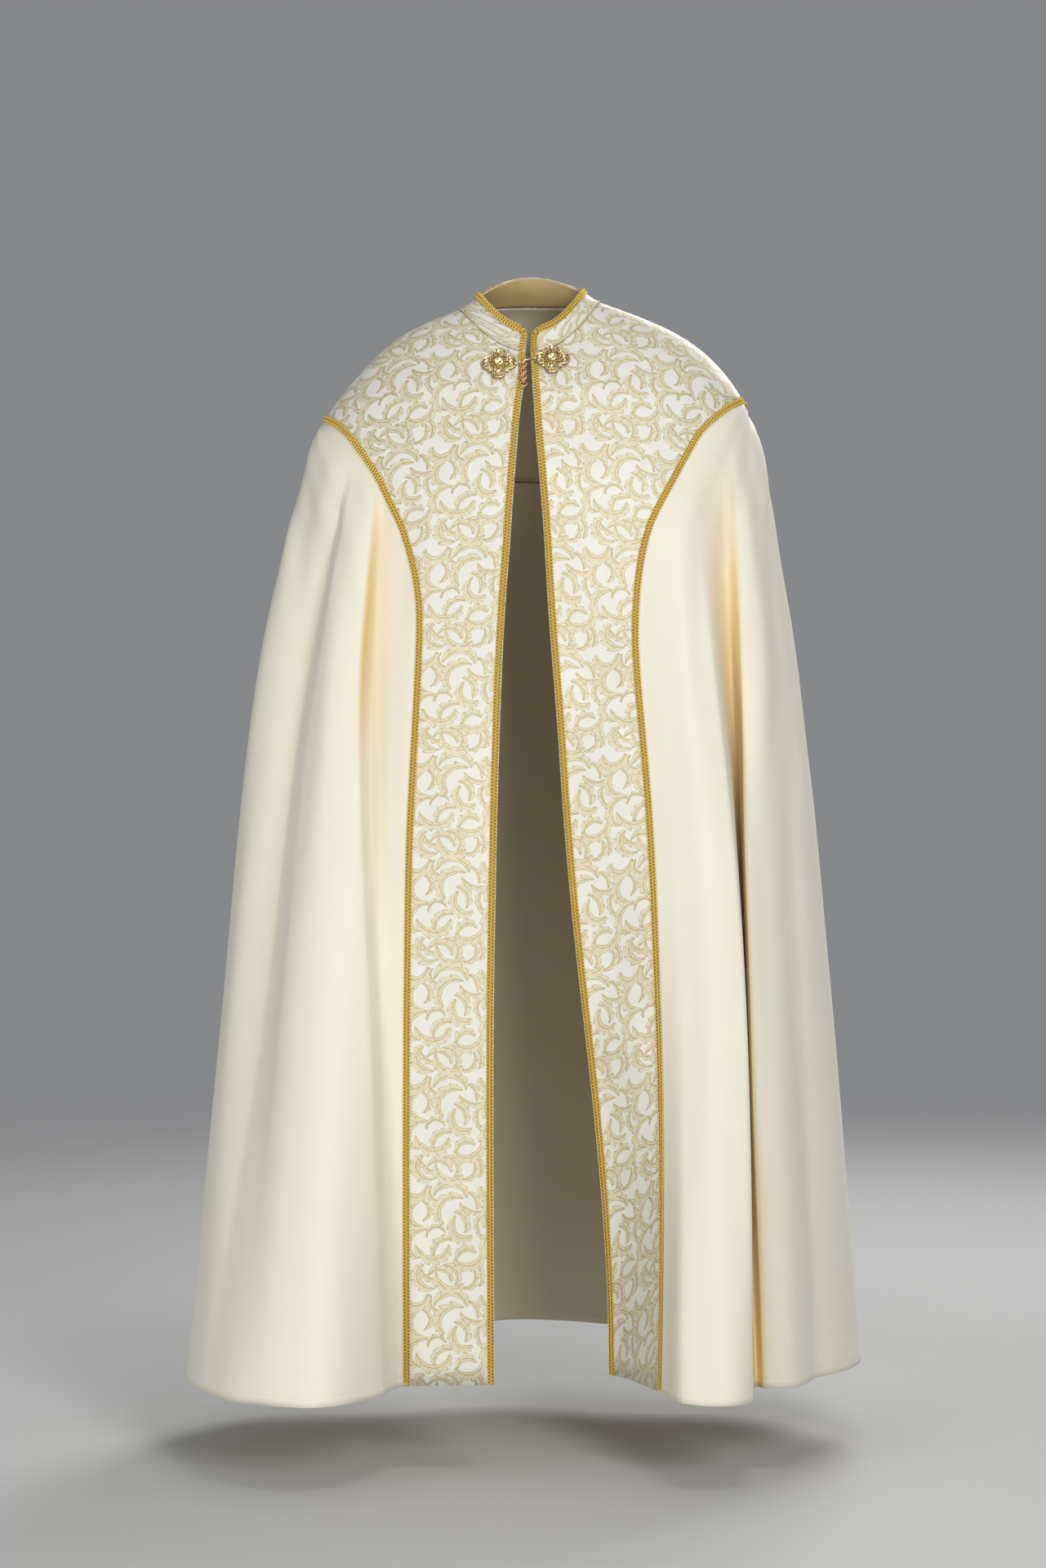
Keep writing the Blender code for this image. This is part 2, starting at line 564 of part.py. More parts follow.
# Braid along the back yoke, from one shoulder tip to the other
YOKE_BRAID_DOWNS = (YOKE_DOWN - BRAID_WIDTH / 2, YOKE_DOWN, YOKE_DOWN + BRAID_WIDTH / 2)
first_angle, last_angle = seam_angles(SEAM_BRAID_START)
add_panel("braid_yoke_back", [(down, np.linspace(first_angle + 0.7, last_angle - 0.7, YOKE_BRAID_COLUMNS))
                              for down in YOKE_BRAID_DOWNS], BRAID_HIGH, BRAID_LOW, GOLD_BRAID)


def plate_reach(angle):
    """Return the distance from the middle of a clasp plate to its outline."""
    turn = (angle + math.pi / 4) % (math.pi / 2) - math.pi / 4
    inside = PLATE_LOBE_RADIUS ** 2 - (PLATE_LOBE_CENTRE * math.sin(turn)) ** 2
    lobe = PLATE_LOBE_CENTRE * math.cos(turn) + math.sqrt(inside) if inside > 0 else 0.0
    corner = abs(abs(turn) - math.pi / 4)
    return max(lobe, PLATE_WAIST, PLATE_TIP - PLATE_TIP_SLOPE * corner)


def plate_frame(side):
    """Return the place of a clasp plate: z along the cloth's outward direction, y upward."""
    degrees, down = PLATE_PLACES[side]
    normal = Vector(form_normals(down, [degrees])[0])
    middle = Vector(form_points(down, [degrees])[0]) + normal * PLATE_LIFTS[side]
    across = Vector((0, 0, 1)).cross(normal).normalized()
    upward = normal.cross(across)
    return Matrix.Translation(middle) @ Matrix((across, upward, normal)).transposed().to_4x4()


def add_plate(side):
    """Make one clasp plate: four round lobes, four small tips, a raised rim and a centre cup."""
    builder = bmesh.new()
    angles = [2 * math.pi * step / PLATE_SECTORS for step in range(PLATE_SECTORS)]
    rings = [[builder.verts.new((plate_reach(angle) * share * math.cos(angle),
                                 plate_reach(angle) * share * math.sin(angle), height))
              for angle in angles] for share, height in PLATE_PROFILE]
    rings.append([builder.verts.new((vert.co.x, vert.co.y, 0.0)) for vert in rings[-1]])
    for inner, outer in zip(rings, rings[1:]):
        for step in range(PLATE_SECTORS):
            after = (step + 1) % PLATE_SECTORS
            builder.faces.new((inner[step], outer[step], outer[after], inner[after]))
    builder.faces.new(rings[0])
    builder.faces.new(rings[-1][::-1])
    bmesh.ops.recalc_face_normals(builder, faces=list(builder.faces))
    bmesh.ops.triangulate(builder, faces=list(builder.faces))
    plate = add_object("clasp_plate_" + side, builder, GOLD_METAL)
    plate.matrix_world = plate_frame(side)
    return plate


def add_tube(name, points, radius, material, closed=False, resolution=1):
    """Make a round wire along the given points."""
    curve = bpy.data.curves.new(name, "CURVE")
    curve.dimensions = "3D"
    curve.bevel_depth = radius
    curve.bevel_resolution = resolution
    curve.use_fill_caps = not closed
    wire = curve.splines.new("POLY")
    wire.points.add(len(points) - 1)
    for target, point in zip(wire.points, points):
        target.co = (*point, 1.0)
    wire.use_cyclic_u = closed
    curve.materials.append(material)
    result = bpy.data.objects.new(name, curve)
    bpy.context.scene.collection.objects.link(result)
    return result


for side in ("left", "right"):
    add_plate(side)

# Hook between the inner lobes of the plates
PLATE_END = PLATE_LOBE_CENTRE + PLATE_LOBE_RADIUS
HOOK_LEFT = plate_frame("left") @ Vector((PLATE_END + HOOK_END_GAP, 0, 0.0012))
HOOK_RIGHT = plate_frame("right") @ Vector((-PLATE_END - HOOK_END_GAP, 0, 0.0012))
hook_path = []
for step in range(9):
    share = step / 8
    place = HOOK_LEFT.lerp(HOOK_RIGHT, share)
    place.y -= HOOK_BOW * math.sin(math.pi * share) ** 0.7
    hook_path.append(place)
add_tube("clasp_hook", hook_path, HOOK_RADIUS, GOLD_METAL)

# Chain: links turned a quarter against each other, then a plain ring. It lies along the chest.
CHAIN_TOP = hook_path[3]
lean = math.radians(CHAIN_LEAN)
CHAIN_ALONG = Vector((0.0, -math.sin(lean), -math.cos(lean)))
CHAIN_OUT = Vector((0.0, -math.cos(lean), math.sin(lean)))
CHAIN_SIDE = Vector((1.0, 0.0, 0.0))


def link_path(top, width_axis, length, width, wire):
    """Return the middle line of a long link whose upper inside end is at the top point."""
    radius = width / 2 + wire
    straight = length - width
    path = []
    for step in range(14):
        angle = 2 * math.pi * step / 14
        along = (length / 2) + math.copysign(straight / 2, math.cos(angle)) + radius * math.cos(angle)
        path.append(top + CHAIN_ALONG * along + width_axis * radius * math.sin(angle))
    return path


inside_top = CHAIN_TOP - CHAIN_ALONG * (HOOK_RADIUS + CHAIN_CLEARANCE)
for number in range(1, LINK_COUNT + 1):
    axis = CHAIN_OUT if number % 2 else CHAIN_SIDE
    add_tube(f"chain_link_{number}", link_path(inside_top, axis, LINK_HOLE_LENGTH, LINK_HOLE_WIDTH, LINK_WIRE),
             LINK_WIRE, GOLD_METAL, closed=True)
    inside_top = inside_top + CHAIN_ALONG * (LINK_HOLE_LENGTH - CHAIN_CLEARANCE)
ring_middle = inside_top + CHAIN_ALONG * (END_RING_RADIUS - END_RING_WIRE)
ring_path = [ring_middle + CHAIN_ALONG * END_RING_RADIUS * math.cos(2 * math.pi * step / 20)
             + CHAIN_SIDE * END_RING_RADIUS * math.sin(2 * math.pi * step / 20) for step in range(20)]
add_tube("chain_end_ring", ring_path, END_RING_WIRE, GOLD_METAL, closed=True)
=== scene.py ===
"""A cope in its worn pose: ivory mantle, brocade fronts and yoke, gold braid, collar, clasp and chain.

Every cloth piece follows one shared form. A point of the form is given by an angle round the cope
(0 at +X, 90 at the back, 180 at -X and -90 or 270 at the front) and by the distance down the cloth
from the neck seam. Left and right are as seen from the front, which faces -Y. Sizes are in metres.
"""
import logging
import math
from dataclasses import dataclass, field
from enum import Enum
from functools import lru_cache

import bmesh
import bpy
import numpy as np
from mathutils import Matrix, Vector


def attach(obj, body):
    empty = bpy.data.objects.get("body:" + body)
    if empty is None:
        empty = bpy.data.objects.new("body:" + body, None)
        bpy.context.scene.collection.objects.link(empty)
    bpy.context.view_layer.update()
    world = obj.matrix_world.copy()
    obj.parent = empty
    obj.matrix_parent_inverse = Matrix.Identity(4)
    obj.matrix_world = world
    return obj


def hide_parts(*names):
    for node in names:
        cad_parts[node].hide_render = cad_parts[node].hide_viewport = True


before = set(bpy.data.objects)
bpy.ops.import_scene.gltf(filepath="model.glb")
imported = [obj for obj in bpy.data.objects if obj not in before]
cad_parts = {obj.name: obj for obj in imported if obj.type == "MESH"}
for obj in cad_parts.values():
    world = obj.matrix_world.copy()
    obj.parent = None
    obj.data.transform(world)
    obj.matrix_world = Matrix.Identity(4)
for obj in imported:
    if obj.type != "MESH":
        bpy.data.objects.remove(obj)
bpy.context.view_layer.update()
LOG = logging.getLogger("cope")

# Sections of the form from the neck seam to the hem: sides, front and back of each ring
SECTION_COLUMNS = ("down", "z_left", "x_left", "z_right", "x_right",
                   "z_front", "y_front", "z_back", "y_back", "square")
SECTIONS = (
    (0.000, 0.018, -0.091, 0.028, 0.092, -0.047, -0.082, 0.030, 0.064, 2.00),
    (0.070, -0.012, -0.160, 0.000, 0.165, -0.066, -0.099, 0.004, 0.098, 2.08),
    (0.140, -0.055, -0.212, -0.035, 0.225, -0.088, -0.113, -0.070, 0.128, 2.18),
    (0.228, -0.127, -0.268, -0.103, 0.281, -0.113, -0.125, -0.195, 0.152, 2.28),
    (0.370, -0.240, -0.305, -0.240, 0.316, -0.246, -0.162, -0.300, 0.170, 2.38),
    (0.543, -0.412, -0.345, -0.412, 0.343, -0.440, -0.181, -0.450, 0.192, 2.40),
    (0.716, -0.584, -0.372, -0.584, 0.366, -0.600, -0.193, -0.605, 0.213, 2.40),
    (0.975, -0.841, -0.396, -0.841, 0.393, -0.850, -0.217, -0.853, 0.250, 2.40),
    (1.234, -1.099, -0.421, -1.099, 0.415, -1.103, -0.252, -1.105, 0.290, 2.40),
    (1.496, -1.367, -0.448, -1.366, 0.439, -1.361, -0.300, -1.362, 0.330, 2.40),
)
COLLAR_RIM = {"z_left": 0.040, "x_left": -0.065, "z_right": 0.045, "x_right": 0.070,
              "z_front": -0.012, "y_front": -0.070, "z_back": 0.068, "y_back": 0.047,
              "square": 2.0}

# Seam lines of the front as seen from the front: height and x
EDGE_RIGHT = ((-0.030, 0.0012), (-0.085, 0.0033), (-0.113, 0.0053), (-0.153, 0.0076),
              (-0.183, 0.0102), (-0.222, 0.0134), (-0.261, 0.0165), (-0.330, 0.0208),
              (-0.398, 0.0250), (-0.513, 0.0340), (-0.624, 0.0415), (-0.708, 0.0480),
              (-0.791, 0.0560), (-0.874, 0.0650), (-0.957, 0.0745), (-1.062, 0.0855),
              (-1.138, 0.0922), (-1.239, 0.0988), (-1.370, 0.1015))
EDGE_LEFT = ((-0.030, -0.0050), (-0.080, -0.0056), (-0.108, -0.0090), (-0.147, -0.0133),
             (-0.190, -0.0166), (-0.232, -0.0199), (-0.289, -0.0237), (-0.397, -0.0314),
             (-0.502, -0.0362), (-0.584, -0.0388), (-0.749, -0.0426), (-0.872, -0.0445),
             (-1.160, -0.0447), (-1.370, -0.0436))
SEAM_RIGHT = ((-0.103, 0.2810), (-0.114, 0.2625), (-0.127, 0.2454), (-0.140, 0.2306),
              (-0.153, 0.2190), (-0.170, 0.2085), (-0.192, 0.1963), (-0.236, 0.1728),
              (-0.271, 0.1552), (-0.300, 0.1462), (-0.335, 0.1396), (-0.377, 0.1354),
              (-0.419, 0.1343), (-0.460, 0.1362), (-0.543, 0.1430), (-0.626, 0.1498),
              (-0.790, 0.1582), (-0.953, 0.1640), (-1.100, 0.1660), (-1.370, 0.1622))
SEAM_LEFT = ((-0.127, -0.2680), (-0.140, -0.2486), (-0.153, -0.2345), (-0.173, -0.2193),
             (-0.192, -0.2061), (-0.228, -0.1860), (-0.251, -0.1751), (-0.273, -0.1645),
             (-0.308, -0.1526), (-0.336, -0.1454), (-0.363, -0.1412), (-0.394, -0.1391),
             (-0.431, -0.1396), (-0.543, -0.1447), (-0.667, -0.1507), (-0.800, -0.1532),
             (-0.955, -0.1545), (-1.370, -0.1542))

# Lines of the largest folds: angle at the yoke, half way and at the hem, and y at five heights
FOLD_DOWNS = (0.33, 0.45, 0.70, 0.98, 1.23, 1.496)
FOLDS = (
    ("left edge before the turn", -98.0, -97.0, -97.0, -0.163, -0.176, -0.188, -0.193, -0.197),
    ("right edge", -86.0, -83.0, -77.0, -0.161, -0.169, -0.164, -0.151, -0.120),
    ("right seam", -67.0, -67.0, -68.5, -0.157, -0.184, -0.206, -0.216, -0.243),
    ("right ridge start", -62.0, -62.0, -65.0, -0.159, -0.193, -0.229, -0.266, -0.322),
    ("right ridge", -56.5, -55.5, -57.5, -0.158, -0.201, -0.243, -0.283, -0.333),
    ("right ridge edge", -52.5, -49.5, -53.3, -0.149, -0.192, -0.236, -0.272, -0.305),
    ("right valley", -41.5, -48.3, -51.8, -0.120, -0.108, -0.122, -0.158, -0.194),
    ("right flank edge", -35.5, -47.3, -50.2, -0.126, -0.150, -0.184, -0.195, -0.205),
    ("right flank", -30.5, -42.0, -44.5, -0.115, -0.142, -0.170, -0.190, -0.200),
    ("right flank dip", -25.0, -31.0, -36.5, -0.090, -0.098, -0.108, -0.118, -0.120),
    ("right side", -10.0, -12.0, -14.0, -0.034, -0.040, -0.034, -0.028, -0.007),
    ("right back", 20.0, 20.0, 20.0, None, None, None, None, None),
    ("left side", 198.0, 196.0, 194.0, None, None, -0.062, -0.072, -0.100),
    ("left flank dip", 222.0, 218.0, 209.0, -0.098, -0.107, -0.124, -0.150, -0.205),
    ("left bulge start", 223.8, 223.5, 222.0, -0.129, -0.148, -0.178, -0.220, -0.303),
    ("left bulge", 226.8, 230.5, 233.5, -0.145, -0.176, -0.215, -0.265, -0.343),
    ("left ridge edge", 229.2, 239.6, 247.2, -0.150, -0.181, -0.210, -0.232, -0.268),
    ("left valley", 232.6, 241.8, 248.7, -0.139, -0.146, -0.186, -0.199, -0.226),
    ("left strip", 238.5, 244.8, 249.6, -0.147, -0.166, -0.187, -0.195, -0.209),
    ("left seam", 245.0, 247.6, 251.2, -0.157, -0.176, -0.190, -0.195, -0.201),
    ("left edge", 262.0, 263.0, 263.0, -0.163, -0.176, -0.188, -0.193, -0.197),
    ("right edge after the turn", 274.0, 277.0, 283.0, -0.161, -0.169, -0.164, -0.151, -0.120),
)
YOKE_ROWS = (0.0, 0.022, 0.050, 0.085, 0.120, 0.155, 0.190, 0.228)
LOWER_ROWS = (0.228, 0.2285, 0.230, 0.2325, 0.236, 0.240, 0.245, 0.252, 0.262, 0.275, 0.292, 0.315,
              0.345, 0.370, 0.395, 0.425, 0.470, 0.530, 0.610, 0.700, 0.800, 0.920, 1.040, 1.160, 1.280,
              1.390, 1.496)
MANTLE_STEPS_RIGHT = (("right ridge start", 1), ("right ridge", 2), ("right ridge edge", 1),
                      ("right valley", 2), ("right flank edge", 2), ("right flank", 1),
                      ("right flank dip", 2), ("right side", 2), ("right back", 2))
MANTLE_STEPS_LEFT = (("left strip", 1), ("left valley", 1), ("left ridge edge", 1),
                     ("left bulge", 2), ("left bulge start", 2), ("left flank dip", 2), ("left side", 2))

# Soft creases on top of the large folds: angle at the top and at the bottom, distances down where
# the crease starts, is deepest and ends, its half width in metres and its height
CREASES = (
    (236.0, 238.0, 0.250, 0.330, 0.480, 0.016, -0.0045),
    (229.0, 232.0, 0.245, 0.320, 0.520, 0.014, 0.0030),
    (216.0, 214.0, 0.250, 0.380, 0.700, 0.022, 0.0040),
    (206.0, 202.0, 0.250, 0.420, 0.900, 0.024, -0.0035),
    (192.0, 196.0, 0.240, 0.400, 0.850, 0.022, 0.0045),
    (-52.0, -58.0, 0.300, 0.420, 0.640, 0.014, 0.0022),
    (-33.0, -37.0, 0.270, 0.380, 0.800, 0.018, 0.0035),
    (-24.0, -26.0, 0.260, 0.420, 0.950, 0.022, -0.0038),
    (-8.0, -4.0, 0.240, 0.430, 1.000, 0.026, 0.0045),
    (14.0, 10.0, 0.250, 0.450, 1.050, 0.026, -0.0040),
    (34.0, 30.0, 0.250, 0.360, 0.800, 0.020, 0.0040),
    (52.0, 54.0, 0.250, 0.330, 0.600, 0.016, -0.0032),
    (74.0, 72.0, 0.250, 0.380, 0.750, 0.018, 0.0036),
    (97.0, 99.0, 0.250, 0.350, 0.650, 0.017, -0.0034),
    (118.0, 121.0, 0.250, 0.400, 0.800, 0.019, 0.0038),
    (141.0, 144.0, 0.250, 0.340, 0.700, 0.018, -0.0034),
    (165.0, 168.0, 0.250, 0.430, 1.000, 0.024, 0.0042),
    (224.0, 226.0, 0.700, 1.050, 1.496, 0.040, 0.0040),
    (-60.0, -61.5, 0.800, 1.150, 1.496, 0.020, -0.0026),
    (-20.0, -18.0, 0.800, 1.200, 1.496, 0.040, 0.0045),
)

# Deep folds that get a painted warm gold shade: the fold line at its sharp side, the line where it fades,
# how fast it fades, then how strongly it shows at each distance down
GOLDEN_SHADE_FOLDS = (
    ("right flank edge", "right ridge edge", 0.8,
     ((0.30, 0.0), (0.40, 0.55), (0.52, 1.0), (1.50, 1.0))),
    ("left ridge edge", "left strip", 1.3,
     ((0.30, 0.0), (0.36, 0.3), (0.44, 1.0), (0.53, 1.3), (0.60, 1.1), (0.67, 0.4), (0.75, 0.1),
      (1.50, 0.03))),
)

# Soft dents and swells of the brocade: side, distance down, distance from the front edge, reach
# down, reach across and height
FRONT_SWELLS = (
    ("right", 0.200, 0.100, 0.050, 0.050, 0.0030), ("right", 0.560, 0.050, 0.060, 0.040, -0.0045),
    ("right", 0.690, 0.060, 0.045, 0.045, 0.0042), ("right", 0.930, 0.040, 0.060, 0.040, -0.0039),
    ("right", 1.060, 0.060, 0.050, 0.050, 0.0039), ("right", 1.300, 0.050, 0.070, 0.050, -0.0030),
    ("left", 0.180, 0.110, 0.050, 0.050, 0.0030), ("left", 0.450, 0.060, 0.060, 0.040, -0.0024),
    ("left", 0.800, 0.050, 0.080, 0.050, 0.0027), ("left", 1.180, 0.050, 0.060, 0.050, -0.0033),
    ("left", 1.280, 0.055, 0.040, 0.050, 0.0033),
)

# Leaves of the brocade in one repeat, in millimetres: centre, curve's radius, how much it curls in,
# angle where the leaf starts, sweep (negative turns the other way), half width and number of lobes
REPEAT = (96.0, 138.0)
LEAVES = (
    (91, 35, 20.6, 0.39, 264, -162, 9.1, 5), (80, 134, 17.5, 0.41, 352, 187, 9.3, 6),
    (35, 109, 23.0, 0.36, 191, -146, 9.2, 5), (13, 67, 26.4, 0.37, 176, -156, 8.9, 6),
    (3, 106, 20.1, 0.37, 68, 167, 9.2, 5), (50, 50, 19.0, 0.41, 232, -176, 9.1, 6),
    (34, 34, 25.9, 0.36, 301, -159, 9.0, 6), (47, 78, 26.3, 0.4, 336, 157, 8.9, 6),
    (91, 74, 24.3, 0.42, 291, -168, 8.4, 5), (35, 15, 26.1, 0.35, 192, 148, 8.4, 5),
    (63, 9, 22.4, 0.16, 160, -90, 5.6, 4), (52, 107, 20.6, 0.25, 49, -91, 5.5, 4),
    (82, 40, 22.8, 0.32, 115, 91, 5.7, 4), (16, 5, 12.5, 0.19, 231, -153, 5.0, 4),
    (12, 60, 12.5, 0.15, 348, -173, 4.3, 4), (46, 112, 17.6, 0.27, 324, 124, 5.2, 4),
    (12, 99, 18.2, 0.18, 175, -100, 5.7, 4), (86, 25, 16.6, 0.31, 71, -133, 4.9, 4),
    (44, 14, 22.6, 0.35, 29, -76, 5.6, 4), (19, 118, 19.6, 0.35, 207, 143, 6.6, 4),
    (24, 82, 19.2, 0.24, 299, -125, 6.8, 4), (33, 43, 20.0, 0.32, 41, -117, 7.1, 4),
    (54, 88, 15.6, 0.32, 170, 145, 7.0, 4), (26, 114, 18.6, 0.35, 255, 137, 6.6, 4),
)


class Side(Enum):
    """Which side of the front opening a piece is on, as seen from the front."""

    LEFT = "left"
    RIGHT = "right"


class Body(Enum):
    """The moving bodies of the cope."""

    CLOAK = "cloak"
    CHAIN = "chain"


class Slot(Enum):
    """The finishes that the record names."""

    WOOL = "ivory_wool"
    BROCADE = "ivory_brocade"
    SATIN = "tan_satin"
    BRAID = "gold_braid"
    METAL = "gold_metal"


@lru_cache(maxsize=None)
def spline_bends(knots: tuple, values: tuple) -> np.ndarray:
    """Return the second derivatives of a natural cubic curve at its knots."""
    step = np.diff(knots)
    slope = np.diff(values) / step
    count = len(knots)
    system, right = np.eye(count), np.zeros(count)
    for row in range(1, count - 1):
        system[row, row - 1:row + 2] = step[row - 1], 2 * (step[row - 1] + step[row]), step[row]
        right[row] = 6 * (slope[row] - slope[row - 1])
    return np.linalg.solve(system, right)


def spline(knots: tuple, values: tuple, where) -> np.ndarray:
    """Find a natural cubic curve.

    Args:
        knots: places of the known values, rising.
        values: known values.
        where: places asked for.

    Returns:
        The curve's values at the places asked for.
    """
    bend = spline_bends(knots, values)
    where = np.clip(np.asarray(where, float), knots[0], knots[-1])
    index = np.clip(np.searchsorted(knots, where) - 1, 0, len(knots) - 2)
    knots, values = np.array(knots), np.array(values)
    width, along = knots[index + 1] - knots[index], where - knots[index]
    back = width - along
    return ((bend[index] * back ** 3 + bend[index + 1] * along ** 3) / (6 * width)
            + (values[index] / width - bend[index] * width / 6) * back
            + (values[index + 1] / width - bend[index + 1] * width / 6) * along)


@lru_cache(maxsize=None)
def monotone_slopes(knots: tuple, values: tuple) -> np.ndarray:
    """Return the slopes at the knots of a smooth curve that never overshoots them."""
    step = np.diff(knots)
    slope = np.diff(values) / step
    tangent = np.concatenate(([slope[0]], np.zeros(len(knots) - 2), [slope[-1]]))
    for row in range(1, len(knots) - 1):
        before, after = slope[row - 1], slope[row]
        if before * after > 0:
            first, second = 2 * step[row] + step[row - 1], step[row] + 2 * step[row - 1]
            tangent[row] = (first + second) / (first / before + second / after)
    return tangent


def monotone(knots: tuple, values: tuple, where) -> np.ndarray:
    """Find a smooth curve that never overshoots its knots.

    Args:
        knots: places of the known values, rising.
        values: known values.
        where: places asked for.

    Returns:
        The curve's values at the places asked for.
    """
    tangent = monotone_slopes(knots, values)
    where = np.clip(np.asarray(where, float), knots[0], knots[-1])
    index = np.clip(np.searchsorted(knots, where) - 1, 0, len(knots) - 2)
    knots, values = np.array(knots), np.array(values)
    width = knots[index + 1] - knots[index]
    t = (where - knots[index]) / width
    return ((2 * t ** 3 - 3 * t ** 2 + 1) * values[index] + (t ** 3 - 2 * t ** 2 + t) * width * tangent[index]
            + (3 * t ** 2 - 2 * t ** 3) * values[index + 1] + (t ** 3 - t ** 2) * width * tangent[index + 1])


def unit(vectors: np.ndarray) -> np.ndarray:
    """Return the vectors at length one."""
    return vectors / np.linalg.norm(vectors, axis=-1, keepdims=True)


def refined(values, steps: int) -> np.ndarray:
    """Return the values with each interval split into equal steps."""
    values = np.asarray(values, float)
    return np.interp(np.arange((len(values) - 1) * steps + 1) / steps, np.arange(len(values)), values)


def lengths(points: np.ndarray) -> np.ndarray:
    """Return the distance run along a line of points, from 0 at the first."""
    return np.concatenate(([0.0], np.cumsum(np.linalg.norm(np.diff(points, axis=0), axis=1))))


@dataclass
class CopeForm:
    """The shape that the whole cloth hangs in, with its seam lines and large folds."""

    wall: float = 0.002
    seam_gap: float = 0.0003
    braid_width: float = 0.010
    yoke_down: float = 0.228
    hem_down: float = 1.496
    shoulder_seams: tuple = (4.0, 176.0)
    flutes_round: float = 8.0
    flute_depth: float = 0.020
    column_margin: float = 1.0
    down_probe: float = 0.002
    turn_probe: float = 0.2
    seam_probe: float = 0.0004
    place_probe: float = 0.0006
    under_yoke: float = 0.0001
    sections: dict = field(default_factory=dict)
    rings: dict = field(default_factory=dict)
    seams: dict = field(default_factory=dict)
    pushes: list = field(default_factory=list)

    def __post_init__(self) -> None:
        """Work out how far each fold line moves the plain rings."""
        for row in FOLDS:
            pushes = [0.0]
            for level, wanted in zip(FOLD_DOWNS[1:], row[4:]):
                own = float(self.plain_ring(self.section(level), self.fold_angle(row, level))[1])
                pushes.append(0.0 if wanted is None else wanted - own)
            self.pushes.append(tuple(pushes))

    def section(self, down: float) -> dict:
        """Return the section's sizes at a distance down the cloth."""
        key = round(down, 6)
        if key not in self.sections:
            table = list(zip(*SECTIONS))
            self.sections[key] = {name: float(spline(table[0], table[column], down))
                                  for column, name in enumerate(SECTION_COLUMNS) if column}
        return self.sections[key]

    @staticmethod
    def plain_ring(section: dict, degrees) -> np.ndarray:
        """Return the points of one ring without folds.

        Args:
            section: the ring's sizes.
            degrees: angles round the cope.

        Returns:
            One point for each angle.
        """
        angle = np.radians(np.asarray(degrees, float))
        c, s = np.cos(angle), np.sin(angle)
        power = section["square"]
        reach = (np.abs(c) ** power + np.abs(s) ** power) ** (-1 / power)
        left, right = section["x_left"], section["x_right"]
        middle, half = (right + left) / 2, (right - left) / 2
        y = np.where(s > 0, section["y_back"], -section["y_front"]) * reach * s
        z_side = section["z_left"] + (section["z_right"] - section["z_left"]) * (1 + c) / 2
        z = z_side + (np.where(s > 0, section["z_back"], section["z_front"]) - z_side) * s * s
        return np.stack((middle + half * reach * c, y, z), axis=-1)

    def fold_angle(self, row: tuple, down: float) -> float:
        """Return the angle of one fold line at a distance down the cloth."""
        return float(monotone((self.yoke_down, 0.9, self.hem_down), row[1:4], down))

    def fold_lines(self, down: float) -> tuple:
        """Return the plain section with the folds' angles and pushes at a distance down the cloth."""
        key = round(down, 6)
        if key not in self.rings:
            angles = tuple(self.fold_angle(row, down) for row in FOLDS)
            pushes = tuple(float(spline(FOLD_DOWNS, steps, down)) if down > FOLD_DOWNS[0] else 0.0
                           for steps in self.pushes)
            self.rings[key] = self.section(down), angles, pushes
        return self.rings[key]

    def points(self, down: float, degrees) -> np.ndarray:
        """Return points on the outside of the cloth.

        Args:
            down: distance down from the neck seam.
            degrees: angles round the cope.

        Returns:
            One point for each angle.
        """
        section, angles, pushes = self.fold_lines(down)
        degrees = np.asarray(degrees, float)
        points = self.plain_ring(section, degrees)
        turned = np.where(degrees < angles[0], degrees + 360, degrees)
        points[..., 1] += monotone(angles, pushes, turned)
        fade = np.clip((down - self.yoke_down) / (self.hem_down - self.yoke_down), 0, 1)
        window = np.clip(np.sin(np.radians(degrees)), 0, 1) ** 0.7
        wave = np.cos(np.radians((degrees - 90) * self.flutes_round))
        points[..., 1] += self.flute_depth * fade * window * wave
        return points

    def normals(self, down: float, degrees) -> np.ndarray:
        """Return the outward directions of the cloth at one distance down."""
        degrees = np.asarray(degrees, float)
        low, high = max(down - self.down_probe, 0.0), min(down + self.down_probe, self.hem_down)
        downward = self.points(high, degrees) - self.points(low, degrees)
        return unit(np.cross(downward, self.around(down, degrees)))

    def around(self, down: float, degrees) -> np.ndarray:
        """Return the step between two points of a ring, one on each side of an angle."""
        return self.points(down, degrees + self.turn_probe) - self.points(down, degrees - self.turn_probe)

    def line_angle(self, down: float, line: tuple, low: float, high: float) -> float:
        """Find where a ring crosses a line.

        Args:
            down: distance down from the neck seam.
            line: rows of height and x.
            low: lowest angle to try.
            high: highest angle to try.

        Returns:
            The angle where they cross.
        """
        heights, places = tuple(-z for z, _ in line), tuple(x for _, x in line)

        def miss(degrees: float) -> float:
            """Return how far the ring's point lies from the line."""
            point = self.points(down, degrees)
            return float(point[0] - spline(heights, places, -point[2]))

        rising = miss(high) > miss(low)
        for _ in range(20):
            middle = (low + high) / 2
            if (miss(middle) > 0) == rising:
                high = middle
            else:
                low = middle
        return (low + high) / 2

    def stretch(self, down: float, degrees: float) -> float:
        """Return the length of one degree along the ring."""
        return float(np.linalg.norm(self.around(down, degrees))) / (2 * self.turn_probe)

    def shifted(self, down: float, degrees: float, distance: float) -> float:
        """Return the angle a given distance along the ring away."""
        for _ in range(12):
            per_degree = self.stretch(down, degrees)
            if abs(distance) <= per_degree:
                break
            degrees += math.copysign(1.0, distance)
            distance -= math.copysign(per_degree, distance)
        return degrees + distance / per_degree

    def edge_angles(self, down: float) -> tuple:
        """Return the angles of the right and left front edges."""
        key = ("edge", round(down, 6))
        if key not in self.seams:
            self.seams[key] = (self.line_angle(down, EDGE_RIGHT, -95.0, -55.0),
                               self.line_angle(down, EDGE_LEFT, 250.0, 275.0))
        return self.seams[key]

